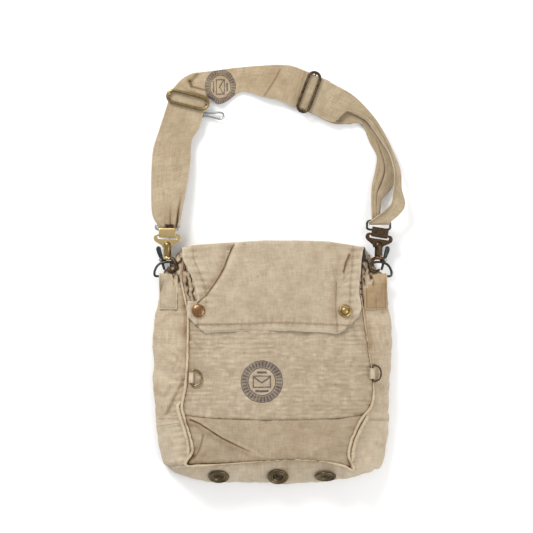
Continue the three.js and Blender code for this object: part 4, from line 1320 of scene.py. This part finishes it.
def flat_piece(name, outline, slot_outline, thick, matrix, finish, slot, rides, round_edge=0.5):
    """A plate cut to an outline, with a slot of as many points if given, and its edges rounded."""
    bm = bmesh.new()
    outer = [bm.verts.new((x, y, -thick / 2)) for x, y in outline]
    rim = [bm.edges.new((a, b)) for a, b in zip(outer, outer[1:] + outer[:1])]
    if slot_outline:
        inner = [bm.verts.new((x, y, -thick / 2)) for x, y in slot_outline]
        hole = [bm.edges.new((a, b)) for a, b in zip(inner, inner[1:] + inner[:1])]
        bmesh.ops.bridge_loops(bm, edges=rim + hole)
    else:
        bmesh.ops.contextual_create(bm, geom=rim)
    grown = bmesh.ops.extrude_face_region(bm, geom=bm.faces[:])
    bmesh.ops.translate(bm, verts=[v for v in grown["geom"] if isinstance(v, bmesh.types.BMVert)],
                        vec=(0, 0, thick))
    bmesh.ops.recalc_face_normals(bm, faces=bm.faces)
    sharp = [e for e in bm.edges if len(e.link_faces) == 2 and e.calc_face_angle(0) > 1.2]
    bmesh.ops.bevel(bm, geom=sharp, offset=round_edge, segments=3, affect="EDGES", profile=0.5, material=-1)
    bmesh.ops.transform(bm, matrix=Matrix.Scale(mm, 4) @ matrix, verts=bm.verts)
    bmesh.ops.recalc_face_normals(bm, faces=bm.faces)
    made = finish_mesh(name, bm, finish, slot, rides)
    made.data.shade_flat()
    for face in made.data.polygons:
        face.use_smooth = face.area < 3e-6
    return made


def ring_of(count, half_x, half_y, cy, power):
    """Points round a rounded rectangle."""
    points = []
    for i in range(count):
        angle = 2 * math.pi * (i + 0.5) / count
        c, s = math.cos(angle), math.sin(angle)
        points.append((half_x * signed_power(c, 2 / power), cy + half_y * signed_power(s, 2 / power)))
    return points


plate_half = spots(
    (0, 50.8), (9, 50.8), (13.2, 50.4), (15.6, 48.8), (16.5, 46), (15.8, 43.2), (13.6, 41), (9.8, 38.8),
    (6.6, 36.6), (5.2, 34), (0, 33.4))


def plate_outline(count):
    """The slotted plate: round-eared above, drawn in to the barrel below."""
    points = []
    for i in range(count):
        share = 2 * (i + 0.5) / count
        spot = along(plate_half, share if share < 1 else 2 - share)
        points.append((spot.x if share < 1 else -spot.x, spot.y))
    return points[::-1][-count // 4:] + points[::-1][:-count // 4]


collar_red = metal("rust-stained bronze", (0.2, 0.09, 0.04, 1), (0.1, 0.05, 0.027, 1), (0.08, 0.05, 0.03, 1),
                   0.4)
for side, sign, finish, slot, barrel_finish in (("left", -1, gold_brass, "gold_brass", brass),
                                                ("right", 1, bronze, "bronze", bronze)):
    leaning, level = hook_place(sign, True), hook_place(sign, False)
    jaw_line = [
        (1.0, 23, 0, 1.0), (7.4, 20.4, 0, 1.1), (12.2, 14.2, 0, 1.2), (11.6, 8.4, 0, 1.1),
        (6.6, 5.6, 0, 1.0), (1.4, 6.4, 0, 0.8), (-1.4, 8.2, 0, 0.55)]
    jaw = wire(f"hook_jaw_{side}", [tuple(leaning @ Vector(p[:3])) + (p[3],) for p in jaw_line], 2.0, bronze,
               "bronze", f"hook_{side}", fine=10)
    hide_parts(f"snap_hook_{side}")
    upright = leaning @ Matrix.Rotation(-math.pi / 2, 4, "X")
    collar = [
        (0, 19.8), (3.6, 19.8), (4.5, 20.3), (4.9, 21.4), (4.9, 22.6), (4.4, 23.6), (2.2, 23.9), (1.9, 24.6),
        (1.9, 33), (0, 33)]
    turned(f"hook_collar_{side}", collar, upright, finish if sign < 0 else collar_red, slot, f"hook_{side}",
           40)
    for way in (-1, 1):
        ear = [
            (-1.5, 20.4), (-0.5, 22.2), (-3.2, 23.2), (-7.2, 22.4), (-10.2, 20.4), (-9.9, 18.0),
            (-8.0, 16.9), (-4.5, 18.2)]
        flat_piece(f"hook_ear_{side}_{'low' if way < 0 else 'high'}", ear, None, 1.1,
                   leaning @ Matrix.Translation((0, 0, 2.25 * way)), bronze, "bronze", f"hook_{side}", 0.25)
    leaf = [
        (-5.6, 7.6), (-3.6, 7.0), (-3.0, 8.4), (-4.6, 13), (-5.6, 19), (-7.4, 25.0), (-9.3, 32.0),
        (-10.4, 35.0), (-12.6, 36.2), (-15.0, 35.2), (-15.9, 32.4), (-14.4, 28.0), (-10.6, 21.0), (-8.6, 16),
        (-6.8, 11)]
    lever = flat_piece(f"hook_leaf_{side}", leaf, None, 2.4, leaning, dark_steel, "dark_steel",
                       f"gate_{side}", 0.8)
    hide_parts(f"hook_lever_{side}")
    repaint(f"lever_pin_{side}", steel)
    barrel = [
        (2.5, 24.2), (4.4, 24.2), (4.9, 24.9), (4.7, 26), (4.6, 34), (4.7, 37), (4.2, 39.4), (2.9, 41),
        (1.2, 41.7), (0, 41.8)]
    turned(f"swivel_barrel_{side}", barrel, level @ Matrix.Rotation(-math.pi / 2, 4, "X"),
           barrel_finish, slot, "sling", 40)
    skew = Matrix.Identity(4)
    if side == "right":
        skew = (Matrix.Translation((0, 42, 0)) @ Matrix.Rotation(math.radians(9), 4, "Z")
                @ Matrix.Translation((0, -42, 0)))
    plate = flat_piece(f"swivel_plate_{side}", plate_outline(48), ring_of(48, 11.8, 1.8, 46.4, 6), 2.4,
                       level @ skew, finish, slot, "sling", 0.6)
    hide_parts(f"swivel_head_{side}")

    def link_point(u, v):
        turn = 2 * math.pi * v
        y = 52.5 + 5.6 * signed_power(math.cos(turn), 0.7)
        z = 2.4 * signed_power(math.sin(turn), 0.55)
        return level @ skew @ Vector((mix(-10, 10, u), y, z))

    bm = bmesh.new()
    bmesh.ops.create_grid(bm, x_segments=12, y_segments=64, size=0.5)
    for vert in bm.verts:
        vert.co = link_point(vert.co.x + 0.5, vert.co.y + 0.5) * mm
    bmesh.ops.remove_doubles(bm, verts=bm.verts, dist=1e-5)
    bmesh.ops.recalc_face_normals(bm, faces=bm.faces)
    link = finish_mesh(f"link_band_{side}", bm, finish, slot, "sling")
    thicken(link, 0.9)
    rounding = link.modifiers.new("rounding", "BEVEL")
    rounding.width = 0.25 * mm
    rounding.segments = 2
    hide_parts(f"link_plate_{side}")

    far = 62.6 if side == "left" else 66.6
    loop = [
        (-13.6, 57.5), (-12.0, 56.4), (0, 56.2), (12.0, 56.4), (13.6, 57.5), (13.9, 60), (13.2, far - 1.2),
        (11.6, far - 0.2), (0, far), (-11.6, far - 0.2), (-13.2, far - 1.2), (-13.9, 60)]
    ring = wire(f"sling_ring_{side}", [level @ Vector((x, y, 0)) for x, y in loop], 1.35,
                steel if side == "left" else dark_steel, "steel", "sling", closed=True)
    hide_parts(f"strap_ring_{side}")


# ---------------------------------------------------------------- Webbing sling
# The sling is woven cotton webbing 45 mm wide. Each leg runs doubled from its slider round a
# wire ring and back, gathered where it passes through; the shoulder part joins the two sliders.

webbing = canvas_material("cotton webbing", (0.4, 0.322, 0.213, 1), (0.325, 0.253, 0.16, 1),
                          (0.22, 0.15, 0.08, 1),
                          thread=0.85)


def strap_soil_and_shading(spread, pleats):
    """Darkening on the webbing: stains in patches, a dark line beside its edges and painted shade in its
    folds; the edges are paler.
    """
    def soil_and_shading(u, v):
        edge = min(u, 1 - u) * 45
        dark = 0.12 * smooth(waver(u * 3, v * 18, 6), 0.0, 0.6)
        dark += 0.175 * hill(edge - 1.6, 0.5) + pleats(u, v)
        return dark - 0.4 * beside(edge, 0.7) + spread
    return soil_and_shading


leg_turn = 0.46  # share of a leg's cloth at which it reaches the ring's wire
leg_bend = 0.06  # share that goes round the wire


def doubled_leg(name, outer, inner, lower_share, relief, height, flat, pleats=lambda u, v: 0.0):
    """Webbing from a slider (v = 0) over the ring's wire and back underneath."""
    def point(u, v):
        if v <= leg_turn:
            share, level, back = v / leg_turn, 1.0, 0.0
        elif v >= leg_turn + leg_bend:
            share = 1 - (v - leg_turn - leg_bend) / (0.94 - leg_turn) * lower_share
            level, back = -1.0, 0.0
        else:
            angle = (v - leg_turn) / leg_bend * math.pi
            share, level, back = 1.0, math.cos(angle), math.sin(angle)
        a, b = along(outer, share), along(inner, share)
        flat_spot = a.lerp(b, u if level > 0 else mix(0.04, 0.96, u))
        rise = smooth(share, 1.0, 0.35)
        wire_z, loop = 16, 2.7
        top = mix(wire_z + loop, height, rise)
        low = mix(wire_z - loop, 1.5, rise)
        return Vector((flat_spot.x, flat_spot.y - back * loop, mix(low, top, (level + 1) / 2)))

    def nudge(u, v):
        if v > leg_turn:
            return 0.3 * waver(u * 4, v * 20, 71)
        return relief(u, v / leg_turn) * smooth(v / leg_turn, 0.03, 0.2)

    made = sheet_of(name, 48, 240, point, in_mm(flat), thick=1.5, finish=webbing,
                    slot="webbing", rides="sling", soil_and_shading=strap_soil_and_shading(0.0, pleats), nudge=nudge)
    return made


def left_relief(u, share):
    """The left leg draws up into pleats near its ring."""
    near = smooth(share, 0.62, 1.0)
    h = -near * (2.6 * hill(u - 0.62, 0.05) + 2.8 * hill(u - 0.82, 0.045)
                 + 1.4 * hill(u - 0.42, 0.06))
    h += near * 1.0 * math.cos(u * 21)
    h += 0.7 * waver(u * 2.2, share * 7, 73) + 0.3 * waver(u * 6, share * 22, 74)
    return h - 0.5 * hill(min(u, 1 - u), 0.03)


def left_pleat_shade(u, v):
    """Painted shade in the pleats that gather the left leg into its ring, and a painted shadow across its end
    at the ring.
    """
    if v >= 0.5:
        return 0.0
    near = smooth(v / leg_turn, 0.72, 1.0)
    end = 1.5 * smooth(v / leg_turn, 0.98, 1.0) * smooth(u, 0.22, 0.42) * smooth(-u, -0.8, -0.7)
    return end + near * (1.3 * hill(u - 0.6, 0.03) + 1.9 * hill(u - 0.86, 0.035)
                         + 0.5 * hill(u - 0.42, 0.03))


left_outer = spots(
    (-123.5, 327), (-127.5, 309.6), (-137.4, 279), (-144.5, 255), (-146.5, 226), (-146.5, 192),
    (-144.5, 175), (-138.5, 164.6))
left_inner = spots(
    (-80, 318), (-83.6, 301), (-88.5, 283), (-98.0, 266), (-99.8, 238.6), (-103.5, 212), (-108.5, 187),
    (-112.6, 164.6))
left_leg = doubled_leg("webbing_leg_left", left_outer, left_inner, 0.9, left_relief, 9.2,
                       (0.045, 0.325), pleats=left_pleat_shade)
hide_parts("strap_left_leg")


def upper_relief(u, share):
    """The right leg's upper layer turns half over: it rolls up on its inner edge."""
    h = 2.2 * hill(1 - u, 0.10) * smooth(share, 0.32, 0.42)
    h += 0.8 * waver(u * 2.5, share * 9, 77) + 0.3 * waver(u * 7, share * 24, 78)
    h -= 1.6 * hill(u - 0.35, 0.12) * smooth(share, 0.28, 0.42) * smooth(-share, -0.62, -0.5)
    return h


upper_outer = spots(
    (41, 349.5), (62, 340), (81.6, 330), (98, 320), (114, 304), (128, 286), (140, 264), (148.5, 243),
    (154, 226), (154.8, 208), (158.4, 194), (157.2, 184), (150.6, 175.7), (141, 168))
upper_inner = spots(
    (28, 308), (44, 301.5), (60, 293), (75, 289), (84, 302), (108.3, 293.5), (121, 279), (131.5, 263),
    (141, 246), (145.5, 226), (144.2, 205), (141.5, 190), (133, 181), (115, 168))
def upper_dark(u, v):
    """Painted shade in the fold that starts behind the right slider and runs down the strap, and in the
    hollow beside it.
    """
    share = v / leg_turn
    if share > 1:
        return 0.0
    fold = hill(u - 0.93, 0.06) * smooth(share, 0.27, 0.33) * smooth(-share, -0.45, -0.38)
    return 1.1 * fold + 0.5 * hill(u - 0.35, 0.06) * smooth(share, 0.3, 0.42) * smooth(-share, -0.66, -0.5)


right_upper = doubled_leg("webbing_leg_right", upper_outer, upper_inner, 0.02, upper_relief, 10.5,
                          (0.028, 0.27),
                          pleats=upper_dark)
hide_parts("strap_right_leg")


def lower_relief(u, share):
    """The right leg's lower layer is creased lengthwise over its lower half."""
    h = 0.8 * waver(u * 2.5, share * 9, 87) + 0.35 * waver(u * 7, share * 24, 88)
    valley = hill(u - mix(0.75, 0.42, share), 0.05) * smooth(share, 0.45, 0.62)
    return h - 2.4 * valley + 1.2 * hill(u - 0.9, 0.08)


def lower_dark(u, v):
    """Painted shade in the crease of the right leg's lower layer."""
    return 1.3 * hill(u - mix(0.75, 0.42, v), 0.035) * smooth(v, 0.45, 0.62)


lower_outer = spots(
    (42, 344), (64, 334), (84, 324), (102, 308), (118, 290), (132, 270), (145, 249), (149.5, 231),
    (146, 214), (140, 204.5), (131.6, 195), (129.4, 182), (128, 168.5))
lower_inner = spots(
    (28, 308), (46, 301), (61, 292.5), (75.6, 287), (90, 288.5), (104, 291), (111, 280), (117, 265),
    (125.5, 249), (123.5, 230), (119.6, 212), (118.8, 190), (120, 168.5))


def lower_point(u, v):
    a, b = along(lower_outer, v), along(lower_inner, v)
    spot = a.lerp(b, u)
    return Vector((spot.x, spot.y, mix(4.2, 15.5, smooth(v, 0.72, 1.0)) + 1.2 * math.sin(math.pi * u)))


right_lower = sheet_of("webbing_leg_right_under", 40, 200, lower_point, (45, 220), thick=1.5, finish=webbing,
                       slot="webbing", rides="sling", soil_and_shading=strap_soil_and_shading(0.12, lower_dark),
                       nudge=lower_relief)

shoulder_outer = spots(
    (-124.5, 324), (-119, 331), (-109, 341), (-95, 348), (-72.5, 351), (-42, 355), (-11.6, 357),
    (8.6, 357.8), (25, 356), (47, 347))
shoulder_inner = spots(
    (-81, 313), (-79, 316), (-74, 317), (-67, 310.8), (-57, 313.5), (-40, 325), (-27, 324.5), (-11.6, 319),
    (8, 314.6), (31, 305))


def shoulder_point(u, v):
    a, b = along(shoulder_outer, v), along(shoulder_inner, v)
    spot = a.lerp(b, u)
    sunk = smooth(v, 0.2, 0.5) - smooth(v, 0.52, 0.76)
    return Vector((spot.x, spot.y, mix(8.55, 2.6, sunk) + 0.3 * math.sin(math.pi * u)))


def shoulder_nudge(u, v):
    """Folds beside the left slider and at the middle; calm at both sliders."""
    x, y = shoulder_point(u, v).xy
    h = 1.0 * waver(u * 2.2, v * 8, 91) + 0.4 * waver(u * 6, v * 26, 92)
    h += step_fold(x, y, [(-94, 345), (-100, 337), (-97, 331), (-80, 326)], 2.6, -1.8)
    h += ridge(x, y, [(-102, 346), (-108, 336), (-104, 328), (-84, 322)], 3.0, 0.9)
    h += step_fold(x, y, [(8.6, 352), (0, 336), (-10, 321)], 2.2, 0.8)
    h += step_fold(x, y, [(-74, 330), (-66, 318), (-64, 312)], 2.0, 0.8)
    # lies still where the sliders' folded ends pass under it
    calm = smooth(v, 0.08, 0.2) * (1 - smooth(v, 0.72, 0.8))
    return max(h * calm, mix(-0.3, -2.2, smooth(v, 0.2, 0.3) - smooth(v, 0.6, 0.72)))


def shoulder_dark(u, v):
    x, y = shoulder_point(u, v).xy
    # Painted shade along the shoulder strap's folds beside the left slider and at its middle; two thin dark
    # lines beside the right slider.
    dark = (ridge(x, y, [(-101, 338), (-98, 331), (-80, 326.5)], 2.0, 1.1)
            + ridge(x, y, [(-79, 320), (-72, 316)], 1.6, 1.3))
    dark += ridge(x, y, [(-92, 346), (-101, 338)], 3.2, 0.4)
    dark += ridge(x, y, [(8.6, 352), (0, 336), (-10, 321)], 1.1, 0.9)
    return (dark + ridge(x, y, [(38, 349), (29, 316)], 0.6, 0.6)
            + ridge(x, y, [(34.5, 350), (25.5, 317)], 0.6, 0.6))


def strap_crest(tree, where):
    """The same round mark as on the front, turned a quarter and running off the strap's fold."""
    local = put(tree, "ShaderNodeMapping",
                {"Vector": where, "Location": (63.5 * mm, -331.5 * mm, 0)}).outputs[0]
    local = put(tree, "ShaderNodeMapping", {"Vector": local, "Rotation": (0, 0, math.pi / 2)}).outputs[0]
    return stamp_ink(tree, local, 21.5, 18.5)


stamped_webbing = canvas_material("stamped webbing", (0.385, 0.302, 0.193, 1), (0.315, 0.24, 0.15, 1),
                                  (0.22, 0.15, 0.08, 1),
                                  thread=0.85, stamp=strap_crest)
shoulder = sheet_of("webbing_shoulder", 48, 200, shoulder_point, (45, 165), thick=1.5, finish=stamped_webbing,
                    slot="webbing", rides="sling", soil_and_shading=strap_soil_and_shading(0.0, shoulder_dark), nudge=shoulder_nudge)
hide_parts("strap_shoulder")


# ---------------------------------------------------------------- Sliders, strap ends and the spare hook
# Each slider is an oval of brass wire with a bar across its middle. The webbing's sewn end turns
# round the bar. A loose wire hook of white metal is caught in the left one.

for side, x, y, heading in (("left", -102.6, 315.4, (0.242, 0.970)), ("right", 43.2, 324.6, (-0.934, 0.358))):
    spin = math.degrees(math.atan2(-heading[0], heading[1]))
    seat = lying(x, y, 0, turn=spin)
    body = f"slider_{side}"
    oval = []
    for i in range(24):
        angle = 2 * math.pi * i / 24
        cx = 18 if math.cos(angle) > 0 else -18
        oval.append(seat @ Vector((cx + 7.0 * math.cos(angle), 7.0 * math.sin(angle), 12.9)))
    frame_wire = wire(f"slider_oval_{side}", oval, 1.75, brass if side == "left" else bronze, "brass", body,
                      closed=True, fine=4)
    bar = spots((-24.8, 0, 12.0), (-24.4, 0, 5.6), (-22.6, 0, 4.7), (0, 0, 4.7), (22.6, 0, 4.7),
                (24.4, 0, 5.6), (24.8, 0, 12.0))
    wire(f"slider_bar_{side}", [seat @ p for p in bar], 1.05, brass, "brass", body)
    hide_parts(f"strap_slider_{side}")

    def end_point(u, v, seat=seat, side=side):
        radius, tail, rise = 2.2, 19.0, 4.7
        run = mix(0, 2 * tail + math.pi * radius, v)
        across = mix(22, -22, u)
        if run < tail:
            spot = Vector((across, run - tail, rise - 1.9))
        elif run > tail + math.pi * radius:
            spot = Vector((across, tail + math.pi * radius - run, rise + radius))
        else:
            angle = (run - tail) / radius
            spot = Vector((across, 1.5 * math.sin(angle) * radius,
                           rise + 0.15 - math.cos(angle) * radius * 0.93))
        spot.z += 0.2 * waver(u * 4, v * 5, x)
        return seat @ spot

    end = sheet_of(f"webbing_end_{side}", 36, 60, end_point, (44, 47), thick=1.2, finish=webbing,
                   slot="webbing",
                   rides=body, soil_and_shading=lambda u, v: 0.6 * hill(v - 0.93, 0.012) - 0.2)
    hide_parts(f"strap_end_{side}")

seat = lying(-102.8, 314.6, 0, turn=math.degrees(math.atan2(-0.242, 0.970)))
spare = [
    (8, -14.0, 4.8), (20, -10.5, 4.8), (32, -7.4, 4.8), (40, -4.4, 4.9), (44.8, -4.6, 5.0),
    (46.4, -8.0, 5.0), (44.6, -11.4, 4.9), (40, -12.2, 4.8), (30, -12.0, 4.8), (22, -13.6, 4.8)]
spare_hook = wire("spare_wire_hook", [seat @ Vector(p) for p in spare], 1.15, steel, "steel", "slider_left")
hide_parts("wire_hook")
